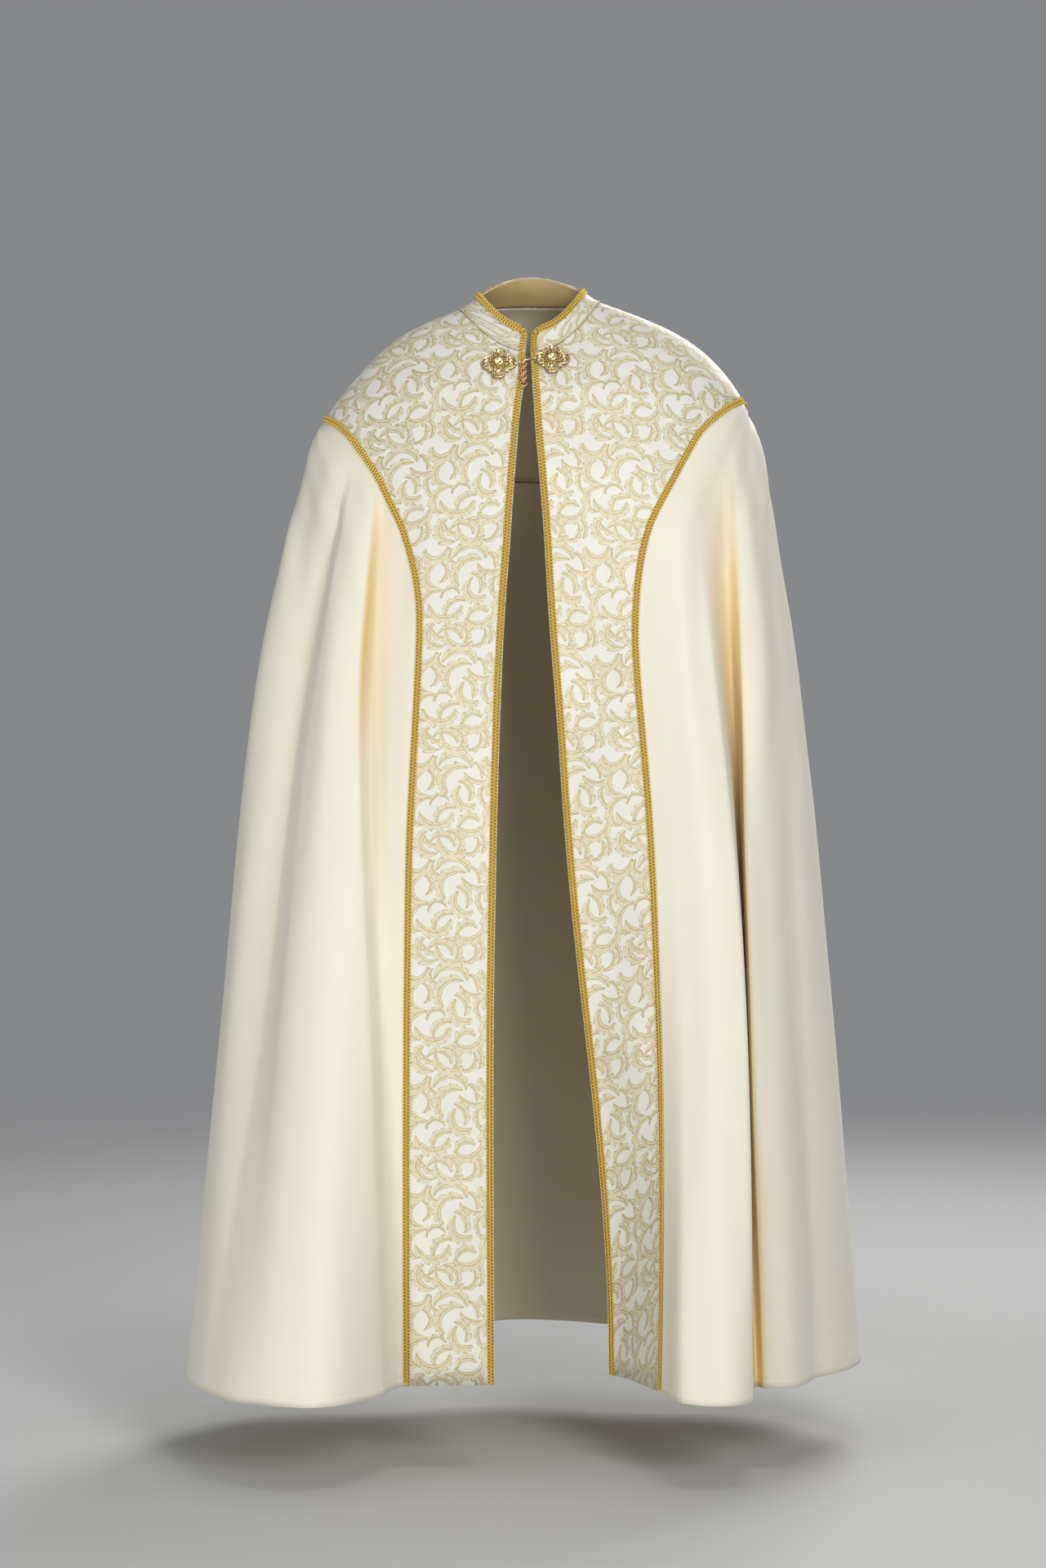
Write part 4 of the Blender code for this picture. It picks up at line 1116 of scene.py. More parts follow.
@dataclass
class Mantle(Piece):
    """The large cloth panel that hangs from the yoke and the fronts."""

    form: CopeForm
    lining: bpy.types.Material
    finish: WoolFinish = WoolFinish()
    top: float = 0.2289
    column_steps: int = 6
    row_steps: tuple = ((2, 7), (3, 5), (4, 6), (12, 3), (13, 5), (14, 2))
    fold_reach: float = 0.055
    deepest_fold: float = 0.034
    fold_shade_share: float = 0.35
    mean_width: float = 2.4
    golden_shade_edge: float = 0.004
    mark_step: float = 0.004
    fine_ripple: float = 0.0010
    broad_ripple: float = 0.0022
    flat: tuple = (2.95, 1.27)
    area: float = 2.45

    def rows(self) -> np.ndarray:
        """Return the distances down of the rows."""
        coarse = [self.top, *LOWER_ROWS[2:]]
        fine, index = [coarse[0]], 0
        for steps, count in self.row_steps:
            for _ in range(count):
                if index + 1 < len(coarse):
                    fine += list(np.linspace(coarse[index], coarse[index + 1], steps + 1)[1:])
                    index += 1
        return np.array(fine)

    def creased(self, down: float, degrees: np.ndarray, points: np.ndarray) -> np.ndarray:
        """Return how far the soft creases lift each point of a row."""
        lift = np.zeros(len(degrees))
        run = lengths(points)
        for top, bottom, start, deepest, end, reach, height in CREASES:
            if start < down < end:
                share = np.interp(down, (start, deepest, end), (0, 1, 0))
                share = 0.5 - 0.5 * math.cos(math.pi * share)
                if end >= self.form.hem_down and down > deepest:
                    share = 1.0
                angle = top + (bottom - top) * (down - start) / (end - start)
                if degrees[0] < angle < degrees[-1]:
                    middle = np.interp(angle, degrees, run)
                    lift += height * share * np.exp(-((run - middle) / reach) ** 2)
        fan = run / run[-1] * self.mean_width
        fine = np.sin(fan * 61 + 0.8 * math.sin(down * 5.3)) * np.sin(fan * 17 + down * 1.5 + 1.0)
        broad = np.sin(fan * 23 + 0.5 * math.sin(down * 4.0)) * (0.6 + 0.4 * math.sin(down * 5 + 0.6))
        lift += self.fine_ripple * fine + self.broad_ripple * broad
        edge = np.minimum(run, run[-1] - run)
        rise = np.clip((down - self.top) / 0.03, 0, 1)
        return lift * np.clip((edge - 0.008) / 0.035, 0, 1) * rise

    def fold_shade_mark(self, points: np.ndarray, normals: np.ndarray) -> np.ndarray:
        """Return how deep each point of a row lies between the folds, from 0 to 1, as a mark for painted
        shade.
        """
        run = lengths(points)
        even = np.arange(0, run[-1], self.mark_step)
        steps = np.arange(-3 * self.fold_reach, 3 * self.fold_reach, self.mark_step)
        weights = np.exp(-(steps / self.fold_reach) ** 2)
        weights /= weights.sum()
        pad = len(steps) // 2
        smooth = []
        for axis in range(3):
            line = np.interp(even, run, points[:, axis])
            line = np.pad(line, pad, mode="reflect", reflect_type="odd")
            line = np.convolve(line, weights, mode="same")[pad:len(even) + pad]
            smooth.append(np.interp(run, even, line))
        depth = np.einsum("ij,ij->i", np.stack(smooth, axis=-1) - points, normals)
        return np.clip(depth / self.deepest_fold, 0, 1)

    def golden_shade(self, down: float, degrees: np.ndarray, run: np.ndarray) -> np.ndarray:
        """Return how strongly the painted warm shade of the deep folds shows at each point of a row."""
        _, angles, _ = self.form.fold_lines(down)
        line = {row[0]: angle for row, angle in zip(FOLDS, angles)}
        mark = np.zeros(len(run))
        for sharp, soft, fading, shares in GOLDEN_SHADE_FOLDS:
            near, far = (np.interp(line[name], degrees, run) for name in (sharp, soft))
            inward = math.copysign(1.0, far - near)
            depth = 1 - (run - near) * inward / abs(far - near)
            cut = np.clip((run - near) * inward / self.golden_shade_edge + 0.5, 0, 1)
            mark = np.maximum(mark, np.interp(down, *zip(*shares)) * np.clip(depth, 0, 1) ** fading * cut)
        return mark

    def build(self) -> bpy.types.Object:
        """Make the mantle."""
        places, flats, marks = [], [], []
        for down in self.rows():
            degrees = refined(self.form.mantle_row(down), self.column_steps)
            points, normals = self.form.points(down, degrees), self.form.normals(down, degrees)
            run = lengths(points)
            # painted shade: the fold depth and the warm fold shade go into the mesh's fold mark, which
            # darkens and warms the cloth's colour
            folded = self.fold_shade_mark(points, normals) * self.fold_shade_share
            marks.append(np.maximum(folded, self.golden_shade(down, degrees, run)))
            points = points + normals * self.creased(down, degrees, points)[:, None]
            places.append(points)
            flats.append(np.stack((run - run[-1] / 2, np.full(len(run), self.form.hem_down - down)), axis=-1))
        piece = cloth_object("mantle_cloth", np.array(places), np.array(flats), self.form.wall,
                             [self.finish.make(), self.lining], {"fold": np.array(marks)})
        self.dress(piece, Body.CLOAK, Slot.WOOL, ("mantle",))
        return piece


@dataclass
class FrontPanel(Piece):
    """One brocade front: its half of the front yoke and the band below it."""

    form: CopeForm
    side: Side
    materials: list
    column_steps: int = 9
    yoke_steps: int = 5
    lower_steps: int = 4
    flat: tuple = (0.36, 1.50)
    area: float = 0.205

    def flat_places(self, points: np.ndarray, run: np.ndarray) -> np.ndarray:
        """Return the places on the flat cloth of one row.

        Args:
            points: the row's points.
            run: distance of each point from the front edge, along the row.

        Returns:
            Pairs of distance across and down.
        """
        x, y, z = points.T
        sign = 1.0 if self.side is Side.RIGHT else -1.0
        low = np.clip((-z - 0.16) / 0.26, 0, 1)
        low = low * low * (3 - 2 * low)
        across = x * (1 - low) + (run + 0.012) * sign * low
        down = np.where(z > -0.2, -0.8 * z, 0.16 - (z + 0.2)) - 0.6 * (y + 0.15)
        return np.stack((across, down), axis=-1)

    def build(self) -> bpy.types.Object:
        """Make the panel."""
        rows = [*refined(YOKE_ROWS, self.yoke_steps), *refined(LOWER_ROWS, self.lower_steps)[1:]]
        places, flats = [], []
        for down in rows:
            degrees = refined(self.form.front_row(down, self.side), self.column_steps)
            points, normals = self.form.points(down, degrees), self.form.normals(down, degrees)
            run = lengths(points)
            run = run if self.side is Side.RIGHT else run[-1] - run
            lift = np.zeros(len(run))
            for side, middle, across, reach, wide, height in FRONT_SWELLS:
                if side == self.side.value:
                    lift += height * np.exp(-((down - middle) / reach) ** 2 - ((run - across) / wide) ** 2)
            edge = np.minimum(run, run.max() - run)
            lift *= np.clip((edge - 0.010) / 0.02, 0, 1)
            points = points + normals * lift[:, None]
            places.append(points)
            flats.append(self.flat_places(points, run))
        piece = cloth_object("brocade_" + self.side.value, np.array(places), np.array(flats), self.form.wall,
                             self.materials)
        self.dress(piece, Body.CLOAK, Slot.BROCADE, ("orphrey_" + self.side.value,))
        return piece


@dataclass
class BackYoke(Piece):
    """The plain brocade yoke of the back, finished without a hood or shield."""

    form: CopeForm
    materials: list
    columns: int = 110
    overlap: float = 0.0004
    row_steps: int = 5
    flat: tuple = (0.60, 0.27)
    area: float = 0.125

    def build(self) -> bpy.types.Object:
        """Make the yoke."""
        places, flats = [], []
        rows = refined(YOKE_ROWS, self.row_steps)
        rows[-1] -= self.form.seam_gap
        for down in rows:
            degrees = np.array(self.form.back_yoke_row(down, -self.overlap, self.columns))
            points = self.form.points(down, degrees)
            places.append(points)
            x, y, z = points.T
            flats.append(np.stack((-x, -0.8 * z + 0.6 * y), axis=-1))
        piece = cloth_object("brocade_back", np.array(places), np.array(flats), self.form.wall,
                             self.materials)
        self.dress(piece, Body.CLOAK, Slot.BROCADE, ("yoke_back",))
        return piece


@dataclass
class Collar(Piece):
    """The standing collar with its satin facing and the piping at its foot."""

    collar: CollarForm
    material: bpy.types.Material
    lining: SatinFinish = FACING
    columns: int = 200
    rows: int = 16
    facing_gap: float = 0.0005
    facing_wall: float = 0.001
    piping: float = 0.0008
    flat_half: float = 0.23

    def angles(self) -> np.ndarray:
        """Return the angles of the columns."""
        right, left = self.collar.form.edge_angles(0.0)
        return np.linspace(right, left, self.columns)

    def sheet(self, name: str, ups: np.ndarray, depth: float, wall: float, material: bpy.types.Material,
              slot: Slot, node: str) -> bpy.types.Object:
        """Make one sheet of the collar.

        Args:
            name: the piece's name.
            ups: heights of the rows, from the rim down.
            depth: how far it lies inside the collar's outside.
            wall: its thickness.
            material: its finish.
            slot: the record's finish.
            node: the node that it replaces.

        Returns:
            The piece.
        """
        degrees = self.angles()
        places, flats = [], []
        for up in ups:
            points = self.collar.points(degrees, up) - self.collar.normals(degrees, up) * depth
            places.append(points)
            flat_down = np.full(len(degrees), 0.06 * (1 - up) + 0.03)
            flats.append(np.stack((lengths(points) - self.flat_half, flat_down), axis=-1))
        piece = cloth_object(name, np.array(places), np.array(flats), wall, [material])
        self.dress(piece, Body.CLOAK, slot, (node,))
        return piece

    def build(self) -> list:
        """Make the collar, its facing and the piping."""
        form = self.collar.form
        outside = self.sheet("collar_cloth", np.linspace(1, 0, self.rows), 0.0, form.wall, self.material,
                             Slot.BROCADE, "collar")
        inside = self.sheet("collar_lining", np.linspace(0.98, 0.05, self.rows), form.wall + self.facing_gap,
                            self.facing_wall, self.lining.make(), Slot.SATIN, "collar_facing")
        degrees = self.angles()[3:-3]
        line = self.collar.points(degrees, 0.0) + self.collar.normals(degrees, 0.0) * self.piping * 0.9
        builder = bmesh.new()
        add_tube(builder, line, self.piping, 8)
        cord = new_object("neck_piping", builder, [self.material])
        self.dress(cord, Body.CLOAK, Slot.BROCADE, ())
        return [outside, inside, cord]


@dataclass
class Rail:
    """A line on the cloth that a braid follows."""

    middle: np.ndarray
    across: np.ndarray
    out: np.ndarray
    lift: float = 0.0003

    @classmethod
    def between(cls, first: np.ndarray, second: np.ndarray, out: np.ndarray, lift: float = 0.0003) -> "Rail":
        """Return the rail half way between two edges."""
        return cls((first + second) / 2, unit(second - first), out, lift)

    def length(self) -> float:
        """Return the rail's length."""
        return float(lengths(self.middle)[-1])

    def bend(self, points: np.ndarray) -> np.ndarray:
        """Lay points of a straight strip on the rail.

        Args:
            points: distance along, across and above the cloth.

        Returns:
            Their places on the rail.
        """
        run = lengths(self.middle)
        parts = []
        for line in (self.middle, self.across, self.out):
            found = [np.interp(points[:, 0], run, line[:, axis]) for axis in range(3)]
            parts.append(np.stack(found, axis=-1))
        return parts[0] + unit(parts[1]) * points[:, 1:2] + unit(parts[2]) * (points[:, 2:3] + self.lift)


@dataclass
class Braid(Piece):
    """A gold gimp braid: two rows of loops that lie over each other on a flat core."""

    name: str
    node: str
    rail: Rail
    yarn_material: bpy.types.Material
    # painted shade: the core is coloured dark to stand for the shade in the holes between the loops
    core_shade_material: bpy.types.Material
    pitch: float = 0.0042
    row: float = 0.00225
    loop_along: float = 0.00215
    loop_across: float = 0.00205
    yarn: float = 0.00045
    height: float = 0.00105
    tilt: float = 16.0
    core_half: float = 0.0036
    core_height: float = 0.00040
    core_inset: float = 0.0006
    core_step: float = 0.004

    def unit_mesh(self, pitch: float) -> bpy.types.Mesh:
        """Return one repeat of the loops, lying straight along x."""
        builder = bmesh.new()
        tilt = math.radians(self.tilt)
        angles = circle(11)
        along = np.cos(angles) * self.loop_along
        height = self.height + along * math.sin(tilt) * 0.8 + 0.0003 * np.cos(2 * angles)
        for sign, start in ((-1, 0.25), (1, 0.75)):
            across = sign * self.row + np.sin(angles) * self.loop_across
            path = np.stack((pitch * start + along * math.cos(tilt), across, height), axis=-1)
            add_tube(builder, path, self.yarn, 4, closed=True)
        bmesh.ops.recalc_face_normals(builder, faces=list(builder.faces))
        mesh = bpy.data.meshes.new(self.name + "_repeat")
        builder.to_mesh(mesh)
        builder.free()
        return mesh

    def build(self) -> bpy.types.Object:
        """Make the braid on its rail."""
        length = self.rail.length()
        count = max(2, round(length / self.pitch))
        pitch = length / count
        repeat = self.unit_mesh(pitch)
        strip = bpy.data.objects.new(self.name + "_strip", repeat)
        bpy.context.scene.collection.objects.link(strip)
        array = strip.modifiers.new("repeats", "ARRAY")
        array.count, array.use_relative_offset, array.use_constant_offset = count, False, True
        array.constant_offset_displace = (pitch, 0, 0)
        bpy.context.view_layer.update()
        straight = bpy.data.meshes.new_from_object(strip.evaluated_get(bpy.context.evaluated_depsgraph_get()))
        bpy.data.objects.remove(strip)
        bpy.data.meshes.remove(repeat)
        places = np.zeros(len(straight.vertices) * 3, np.float32)
        straight.vertices.foreach_get("co", places)
        bent = self.rail.bend(places.reshape(-1, 3).astype(float))
        straight.vertices.foreach_set("co", bent.astype(np.float32).ravel())
        builder = bmesh.new()
        builder.from_mesh(straight)
        bpy.data.meshes.remove(straight)
        stations = np.arange(self.core_inset, length - self.core_inset, self.core_step)
        level = np.full_like(stations, self.core_height)
        flat = np.stack((stations, np.zeros_like(stations), level), axis=-1)
        core = self.rail.bend(flat)
        high = self.rail.bend(flat + np.array((0, 0, 0.001)))
        yarn_faces = len(builder.faces)
        add_tube(builder, core, self.core_half, 8, False, self.core_height / self.core_half,
                 unit(high - core))
        builder.faces.ensure_lookup_table()
        for face in builder.faces[yarn_faces:]:
            face.material_index = 1
        piece = new_object(self.name, builder, [self.yarn_material, self.core_shade_material], 60.0)
        return self.dress(piece, Body.CLOAK, Slot.BRAID, (self.node,) if self.node else ())


@dataclass
class BraidSet:
    """The lines of the six braids."""

    form: CopeForm
    collar: CollarForm
    seam_start: float = 0.2298
    step: float = 0.010
    tip: tuple = (0.2298, 0.2310, 0.2325, 0.2345, 0.2370, 0.2400, 0.2440, 0.2490, 0.2550)
    end_top: tuple = (0.2835, 0.0015, -0.1040)
    end_run: tuple = (0.0025, 0.0010, -0.0150)

    def rows(self, first: float, last: float) -> np.ndarray:
        """Return distances down at even steps, closer together at the shoulder tip."""
        plain = np.arange(first, last, self.step)
        return np.unique(np.clip(np.concatenate((plain, self.tip, [first, last])), first, last))

    def edge(self, side: Side) -> Rail:
        """Return the line along a front edge."""
        first, second, out = [], [], []
        for down in self.rows(0.0015, self.form.hem_down):
            right, left = self.form.edge_angles(down)
            pair = ([right, self.form.shifted(down, right, self.form.braid_width)] if side is Side.RIGHT
                    else [self.form.shifted(down, left, -self.form.braid_width), left])
            points, normals = self.form.points(down, pair), self.form.normals(down, pair)
            first.append(points[0])
            second.append(points[1])
            out.append(normals.mean(axis=0))
        return Rail.between(np.array(first), np.array(second), unit(np.array(out)))

    def seam(self, column: int) -> Rail:
        """Return the line along the seam between a front and the mantle."""
        first, second, out = [], [], []
        for down in self.rows(self.seam_start, self.form.hem_down - 0.001):
            places = [self.form.beside_seam_place(down, column, across * self.form.braid_width / 2)
                      for across in (-1, 0, 1)]
            points = [self.form.points(min(row, self.form.hem_down), degrees) for row, degrees in places]
            first.append(points[0])
            second.append(points[2])
            out.append(self.form.normals(places[1][0], places[1][1]))
        return Rail.between(np.array(first), np.array(second), unit(np.array(out)), 0.0009)

    def loose_end(self) -> Rail:
        """Return the line of the short end that hangs down at the right shoulder tip."""
        share = np.linspace(0, 1, 5)[:, None]
        middle = np.array(self.end_top) + share * np.array(self.end_run)
        across = np.tile((0.25, -0.97, 0.0), (5, 1))
        return Rail(middle, unit(across), np.tile((0.97, 0.25, 0.1), (5, 1)))

    def back(self) -> Rail:
        """Return the line along the back yoke, from one shoulder tip to the other."""
        first_angle, last_angle = self.form.seam_angles(self.seam_start)
        degrees = np.linspace(first_angle + 0.7, last_angle - 0.7, 160)
        middle, half = self.form.yoke_down, self.form.braid_width / 2
        return Rail.between(self.form.points(middle - half, degrees),
                            self.form.points(middle + half, degrees), self.form.normals(middle, degrees))

    def rim(self) -> Rail:
        """Return the line up the collar's front corner, along its rim and down again."""
        right, left = self.form.edge_angles(0.0)
        inner = (self.form.front_row(0.0, Side.RIGHT)[1], self.form.front_row(0.0, Side.LEFT)[-2])
        ups, rims = (-0.02, 0.2, 0.45, 0.72, 0.9), (-0.02, 0.2, 0.43, 0.60, 0.70)
        angles = np.linspace(inner[0], inner[1], 130)
        outer = [*((right, up) for up in ups), *((angle, 1.0) for angle in angles),
                 *((left, up) for up in ups[::-1])]
        inside = [(inner[0], up) for up in rims]
        for angle in angles:
            height = np.linalg.norm(self.collar.points(angle, 1.0) - self.collar.points(angle, 0.0))
            inside.append((angle, 1 - self.form.braid_width / height))
        inside += [(inner[1], up) for up in rims[::-1]]
        (a, b), (c, d) = np.array(outer).T, np.array(inside).T
        high, low = self.collar.points(a, b), self.collar.points(c, d)
        return Rail.between(high, low, self.collar.normals((a + c) / 2, (b + d) / 2), 0.0008)


@dataclass
class ClaspPlate(Piece):
    """One pierced filigree plate of the clasp, with a centre cup and a cup in each lobe."""

    form: CopeForm
    side: Side
    gold: bpy.types.Material
    # painted shade: the plate's back is coloured dark for the shade in the filigree's recesses
    old: bpy.types.Material
    lobe_centre: float = 0.0142
    lobe_radius: float = 0.0090
    waist: float = 0.0163
    tip: float = 0.0193
    stretch: float = 1.12
    tip_slope: float = 0.030
    rim_wire: float = 0.00075
    scroll_wire: float = 0.00042
    scroll_height: float = 0.0021
    back: tuple = ((0.0, 0.0016), (0.35, 0.0016), (0.70, 0.0013), (0.93, 0.0011), (1.0, 0.0010),
                   (1.0, 0.0001), (0.93, 0.0), (0.5, 0.0), (0.0, 0.0))
    boss: tuple = ((0.0, 0.0016), (0.0022, 0.0016), (0.0032, 0.0024), (0.0040, 0.0044),
                   (0.0047, 0.0052), (0.0054, 0.0050), (0.0058, 0.0040), (0.0055, 0.0024),
                   (0.0061, 0.0008), (0.0, 0.0008))
    cup: tuple = ((0.0, 0.0018), (0.0012, 0.0020), (0.0022, 0.0032), (0.0029, 0.0040),
                  (0.0034, 0.0037), (0.0035, 0.0020), (0.0039, 0.0009), (0.0, 0.0009))
    scrolls: tuple = ((0.0112, 0.36, 0.0026, 1.2, -1.35), (0.0176, 0.29, 0.0021, 2.2, 1.2))
    corner_beads: tuple = ((0.0152, 0.0, 0.0026, 0.00125), (0.0123, 0.0, 0.0023, 0.00080),
                           (0.0135, -0.12, 0.0022, 0.00065), (0.0135, 0.12, 0.0022, 0.00065))
    places: tuple = (("left", -104.3, 0.077, 0.0014), ("right", -79.3, 0.055, 0.0023))

    def reach(self, angle: float) -> float:
        """Return the distance from the middle to the outline."""
        turn = (angle + math.pi / 4) % (math.pi / 2) - math.pi / 4
        inside = self.lobe_radius ** 2 - (self.lobe_centre * math.sin(turn)) ** 2
        lobe = self.lobe_centre * math.cos(turn) + math.sqrt(inside) if inside > 0 else 0.0
        corner = abs(abs(turn) - math.pi / 4)
        return max(lobe, self.waist, self.tip - self.tip_slope * corner)

    def place(self) -> Matrix:
        """Return the plate's place: z along the cloth's outward direction, y upward."""
        degrees, down, lift = {row[0]: row[1:] for row in self.places}[self.side.value]
        normal = Vector(self.form.normals(down, [degrees])[0])
        middle = Vector(self.form.points(down, [degrees])[0]) + normal * lift
        across = Vector((0, 0, 1)).cross(normal).normalized()
        turn = Matrix((across, normal.cross(across) * self.stretch, normal)).transposed()
        return Matrix.Translation(middle) @ turn.to_4x4()

    def ring(self, share: float, height: float, count: int = 120) -> np.ndarray:
        """Return a closed line that follows the outline at a share of its size."""
        return np.array([(self.reach(a) * share * math.cos(a), self.reach(a) * share * math.sin(a), height)
                         for a in circle(count)])

    def add_back(self, builder: bmesh.types.BMesh) -> None:
        """Add the sunk back of the plate, a little domed, with its turned edge."""
        rows = []
        for share, height in self.back:
            line = self.ring(max(share, 1e-4), height, 80)
            rows.append(np.concatenate((line, line[:1])))
        made = add_patch(builder, np.array(rows))
        bmesh.ops.remove_doubles(builder, verts=made, dist=1e-5)

    @staticmethod
    def scroll(middle: tuple, radius: float, start: float, turns: float, height: float) -> np.ndarray:
        """Return the line of a wire spiral.

        Args:
            middle: x and y of its middle.
            radius: its outer radius.
            start: angle of its outer end, in radians.
            turns: turns inward, negative for the other way.
            height: height of the wire.

        Returns:
            Points along the wire.
        """
        share = np.linspace(0, 1, 26)
        angle = start + share * turns * 2 * math.pi
        reach = radius * (1 - 0.78 * share)
        return np.stack((middle[0] + reach * np.cos(angle), middle[1] + reach * np.sin(angle),
                         height + 0.0004 * np.sin(share * math.pi)), axis=-1)

    def add_filigree(self, builder: bmesh.types.BMesh) -> None:
        """Add the rim, the wire scrolls, the cups and the beads."""
        add_tube(builder, self.ring(0.955, 0.0016), self.rim_wire, 8, True)
        add_tube(builder, self.ring(0.80, 0.0018), self.scroll_wire, 6, True)
        for angle in circle(44):
            self.add_bead(builder, self.reach(angle) * 0.875, angle, 0.0019, 0.00052)
        add_turned(builder, self.boss, (0, 0, 0), 28)
        self.add_bead(builder, 0.0, 0.0, 0.0030, 0.0013, 3)
        for angle in circle(18):
            self.add_bead(builder, 0.0073, angle, 0.0024, 0.00070)
        middle = self.lobe_centre * 1.10
        for angle in circle(4):
            add_turned(builder, self.cup, (middle * math.cos(angle), middle * math.sin(angle), 0.0), 18)
            self.add_bead(builder, middle, angle, 0.0026, 0.0010)
            for sign in (-1, 1):
                for reach, aside, radius, start, turns in self.scrolls:
                    lean = angle + sign * aside
                    place = (reach * math.cos(lean), reach * math.sin(lean))
                    wire = self.scroll(place, radius, lean + sign * start, sign * turns, self.scroll_height)
                    add_tube(builder, wire, self.scroll_wire, 6)
            for reach, aside, height, radius in self.corner_beads:
                self.add_bead(builder, reach, angle + math.pi / 4 + aside, height, radius)

    @staticmethod
    def add_bead(builder: bmesh.types.BMesh, reach: float, angle: float, height: float, radius: float,
                 level: int = 2) -> None:
        """Add a small round bead at a distance and an angle from the plate's middle."""
        place = Vector((reach * math.cos(angle), reach * math.sin(angle), height))
        bmesh.ops.create_icosphere(builder, subdivisions=level, radius=radius,
                                   matrix=Matrix.Translation(place))

    def build(self) -> list:
        """Make the plate's back and its filigree."""
        pieces = []
        matrix = self.place()
        for name, adder, material, nodes in (
                ("back", self.add_back, self.old, ("clasp_plate_" + self.side.value,)),
                ("filigree", self.add_filigree, self.gold, ())):
            builder = bmesh.new()
            adder(builder)
            bmesh.ops.transform(builder, matrix=matrix, verts=list(builder.verts))
            piece = new_solid(f"clasp_{self.side.value}_{name}", builder, material)
            pieces.append(self.dress(piece, Body.CLOAK, Slot.METAL, nodes))
        return pieces


@dataclass
class ClaspHook(Piece):
    """The bent wire hook between the plates."""

    left: ClaspPlate
    right: ClaspPlate
    gold: bpy.types.Material
    radius: float = 0.0010
    bow: float = 0.0042
    roundness: float = 0.7
    end_gap: float = 0.0009
    end_height: float = 0.0012

    def path(self, steps: int, over: float = 0.0) -> np.ndarray:
        """Return the hook's middle line; over lengthens it into the plates."""
        end = self.left.lobe_centre + self.left.lobe_radius + self.end_gap
        first = np.array(self.left.place() @ Vector((end, 0, self.end_height)))
        last = np.array(self.right.place() @ Vector((-end, 0, self.end_height)))
        share = np.linspace(-over, 1 + over, steps)
        line = first + (last - first) * share[:, None]
        line[:, 1] -= self.bow * np.sin(math.pi * np.clip(share, 0, 1)) ** self.roundness
        return line

    def build(self) -> bpy.types.Object:
        """Make the hook."""
        builder = bmesh.new()
        add_tube(builder, self.path(36, 0.18), self.radius, 12)
        piece = new_solid("clasp_wire_hook", builder, self.gold)
        return self.dress(piece, Body.CLOAK, Slot.METAL, ("clasp_hook",))


@dataclass
class Chain(Piece):
    """The short chain that hangs from the hook, and its end ring."""

    hook: ClaspHook
    material: bpy.types.Material
    links: int = 7
    wire: float = 0.00122
    hole_length: float = 0.0056
    hole_width: float = 0.0046
    lean: float = 34.0
    clearance: float = 0.00035
    ring_radius: float = 0.0042
    ring_wire: float = 0.0008

    def build(self) -> list:
        """Make the links and the ring."""
        lean = math.radians(self.lean)
        along = np.array((0.0, -math.sin(lean), -math.cos(lean)))
        out = np.array((0.0, -math.cos(lean), math.sin(lean)))
        side = np.array((1.0, 0.0, 0.0))
        top = self.hook.path(9)[3] - along * (self.hook.radius + self.clearance)
        builder = bmesh.new()
        angles = circle(28)
        radius = self.hole_width / 2 + self.wire
        for number in range(self.links):
            axis = side if number % 2 else out
            straight = np.sign(np.cos(angles)) * (self.hole_length - self.hole_width) / 2
            run = self.hole_length / 2 + straight + radius * np.cos(angles)
            path = top + along * run[:, None] + axis * radius * np.sin(angles)[:, None]
            add_tube(builder, path, self.wire, 8, True)
            top = top + along * (self.hole_length - self.clearance)
        links = new_solid("hanging_chain", builder, self.material)
        self.dress(links, Body.CHAIN, Slot.METAL, tuple(f"chain_link_{n + 1}" for n in range(self.links)))
        builder = bmesh.new()
        middle = top + along * (self.ring_radius - self.ring_wire)
        angles = circle(48)
        path = (middle + along * self.ring_radius * np.cos(angles)[:, None]
                + side * self.ring_radius * np.sin(angles)[:, None])
        add_tube(builder, path, self.ring_wire, 10, True)
        ring = new_solid("end_ring", builder, self.material)
        self.dress(ring, Body.CHAIN, Slot.METAL, ("chain_end_ring",))
        return [links, ring]


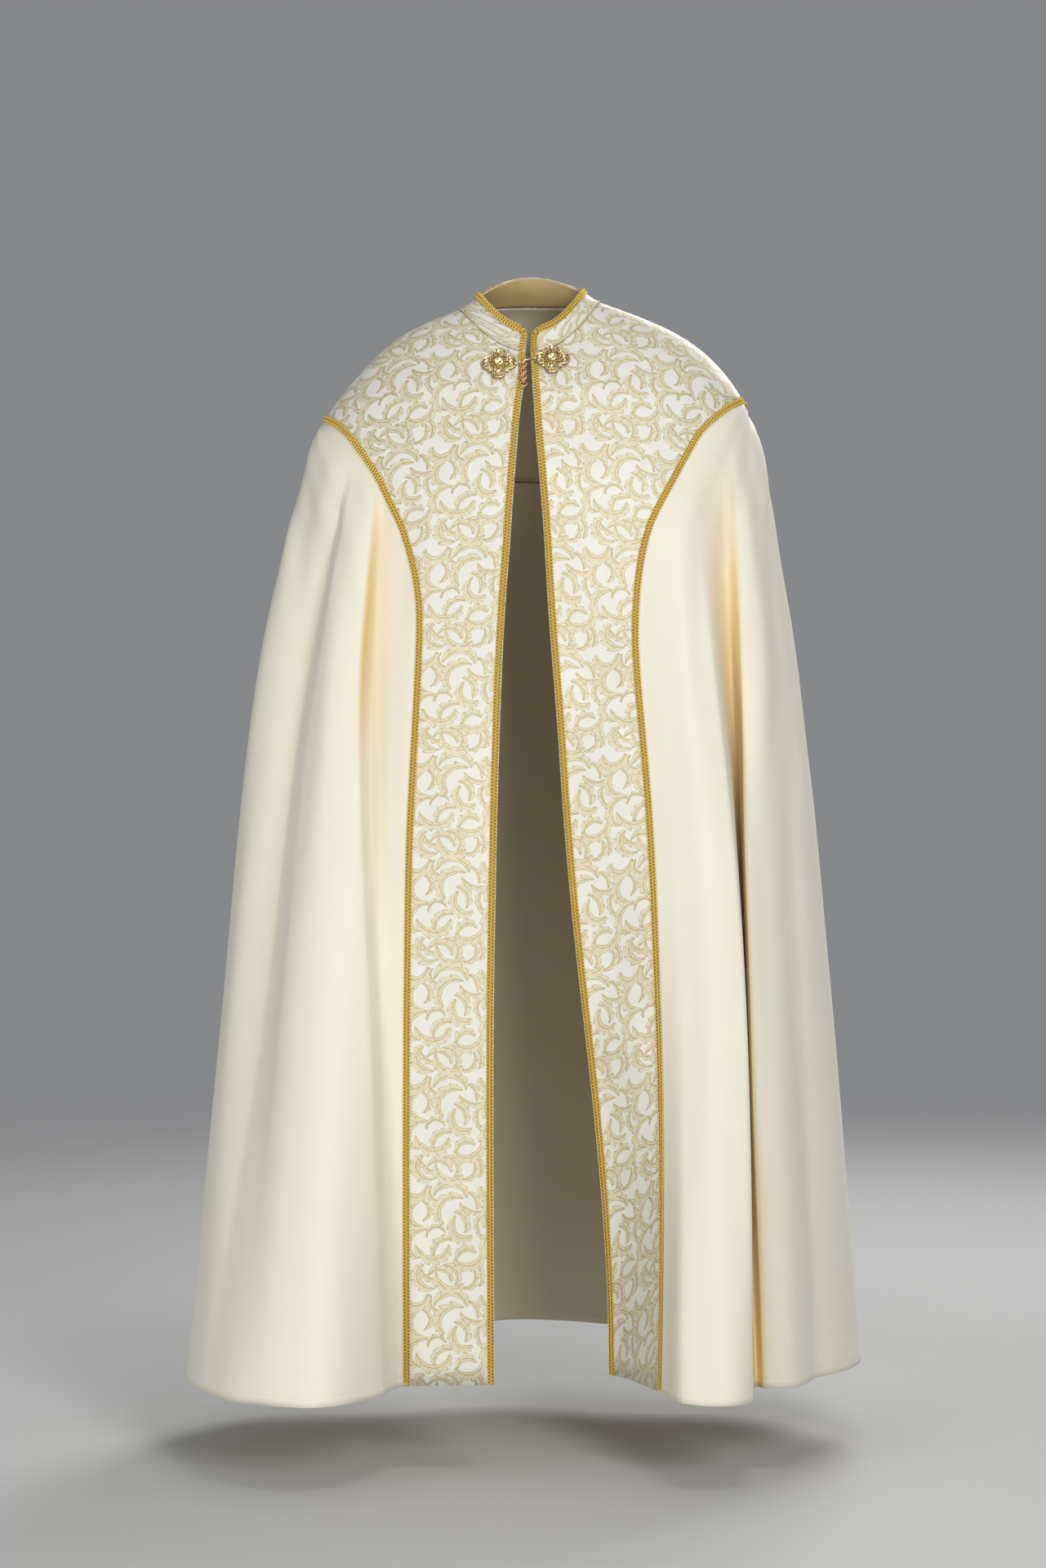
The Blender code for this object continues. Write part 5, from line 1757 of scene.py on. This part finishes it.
@dataclass
class Studio:
    """The plain floor, the soft lights and the camera."""

    floor_height: float = -1.47
    floor_half: float = 9.0
    lens: float = 78.56
    camera: tuple = (-0.008, -4.5, -0.605)
    backdrop: tuple = (0.24, 0.244, 0.25)
    floor_light: tuple = (0.61, 0.615, 0.62)
    floor_shade: tuple = (0.58, 0.585, 0.59)
    floor_fading: tuple = (1.2, 6.0)
    lights: tuple = (
        ("key", (1.1, -3.4, 0.3), (0.0, 0.0, -0.6), 1.3, 58.0, (1.0, 0.985, 0.96)),
        ("low", (-1.6, -2.6, -0.9), (-0.3, 0.0, -1.1), 1.0, 24.0, (1.0, 0.96, 0.89)),
        ("top", (0.5, -1.3, 2.1), (0.1, -0.1, -0.3), 1.0, 13.0, (1.0, 0.98, 0.96)),
        ("cool side", (-2.9, 0.3, 0.3), (0.0, 0.0, -0.6), 1.4, 3.0, (0.84, 0.92, 1.0)),
        ("back", (1.4, 3.2, 1.6), (0.0, 0.0, -0.6), 2.0, 90.0, (1.0, 0.98, 0.95)),
    )

    def build_floor(self) -> None:
        """Make the floor, which fades into the backdrop's colour."""
        builder = bmesh.new()
        bmesh.ops.create_grid(builder, x_segments=8, y_segments=8, size=self.floor_half,
                              matrix=Matrix.Translation((0, 0, self.floor_height)))
        shader = Shader("studio_floor")
        x, y, _ = shader.split(shader.object_place())
        reach = (x * x + y * y).math("SQRT")
        cloudy = shader.noise(shader.object_place(), 2.0)
        colour = shader.mix(cloudy, self.floor_shade, self.floor_light)
        seen = 1 - reach.step(*self.floor_fading)
        material = shader.finish(None, linked={"Base Color": colour, "Alpha": seen}, plain={"Roughness": 0.9})
        floor = new_object("floor", builder, [material])

    def build_lights(self) -> None:
        """Make the world's light and the soft lamps."""
        world = bpy.data.worlds.new("studio")
        bpy.context.scene.world = world
        world.use_nodes = True
        background = world.node_tree.nodes["Background"]
        background.inputs["Color"].default_value = (*self.backdrop, 1.0)
        background.inputs["Strength"].default_value = 1.0
        for name, place, target, size, power, colour in self.lights:
            lamp = bpy.data.lights.new(name, "AREA")
            lamp.shape, lamp.size, lamp.energy, lamp.color = "DISK", size, power, colour
            item = bpy.data.objects.new(name, lamp)
            item.location = place
            item.rotation_euler = (Vector(target) - Vector(place)).to_track_quat("-Z", "Y").to_euler()
            bpy.context.scene.collection.objects.link(item)

    def build_camera(self) -> None:
        """Make the camera at the photograph's place."""
        data = bpy.data.cameras.new("camera")
        data.lens, data.sensor_width, data.clip_end = self.lens, 36.0, 60.0
        item = bpy.data.objects.new("camera", data)
        item.location = self.camera
        item.rotation_euler = (math.pi / 2, 0.0, 0.0)
        bpy.context.scene.collection.objects.link(item)
        bpy.context.scene.camera = item
        bpy.context.scene.view_settings.view_transform = "Standard"


def main() -> None:
    """Build the cope and its studio."""
    logging.basicConfig(level=logging.INFO, format="%(name)s: %(message)s")
    studio = Studio()
    studio.build_camera()
    studio.build_floor()
    studio.build_lights()
    form = CopeForm()
    collar = CollarForm(form)
    brocade, yarn = BrocadeFinish().make(), YarnFinish().make()
    # painted shade: a dark core that stands for the shade seen through the loops' holes
    core = YarnFinish("braid_core_shade", (0.44, 0.27, 0.04), (0.22, 0.12, 0.015), 0.5, 0.3).make()
    gold = MetalFinish().make()
    # painted shade: dark gilt for the plates' backs, standing for the shade in the filigree's recesses
    old = MetalFinish("gilt_recess_shade", (0.54, 0.36, 0.11), (0.16, 0.10, 0.03), 0.40).make()
    rose = MetalFinish("rose_gilt", (0.95, 0.66, 0.38), (0.72, 0.42, 0.20), 0.22).make()
    lining = LINING.make()
    Mantle(form, lining).build()
    for side in Side:
        FrontPanel(form, side, [brocade, lining]).build()
    BackYoke(form, [brocade, lining]).build()
    Collar(collar, brocade).build()
    lines = BraidSet(form, collar)
    for name, rail in (("edge_left", lines.edge(Side.LEFT)), ("edge_right", lines.edge(Side.RIGHT)),
                       ("seam_right", lines.seam(0)), ("seam_left", lines.seam(1)),
                       ("yoke_back", lines.back()), ("collar", lines.rim())):
        Braid("gimp_" + name, "braid_" + name, rail, yarn, core).build()
    Braid("gimp_end", "", lines.loose_end(), yarn, core).build()
    plates = {side: ClaspPlate(form, side, gold, old) for side in Side}
    for plate in plates.values():
        plate.build()
    hook = ClaspHook(plates[Side.LEFT], plates[Side.RIGHT], gold)
    hook.build()
    Chain(hook, rose).build()


if __name__ == "__main__":
    main()
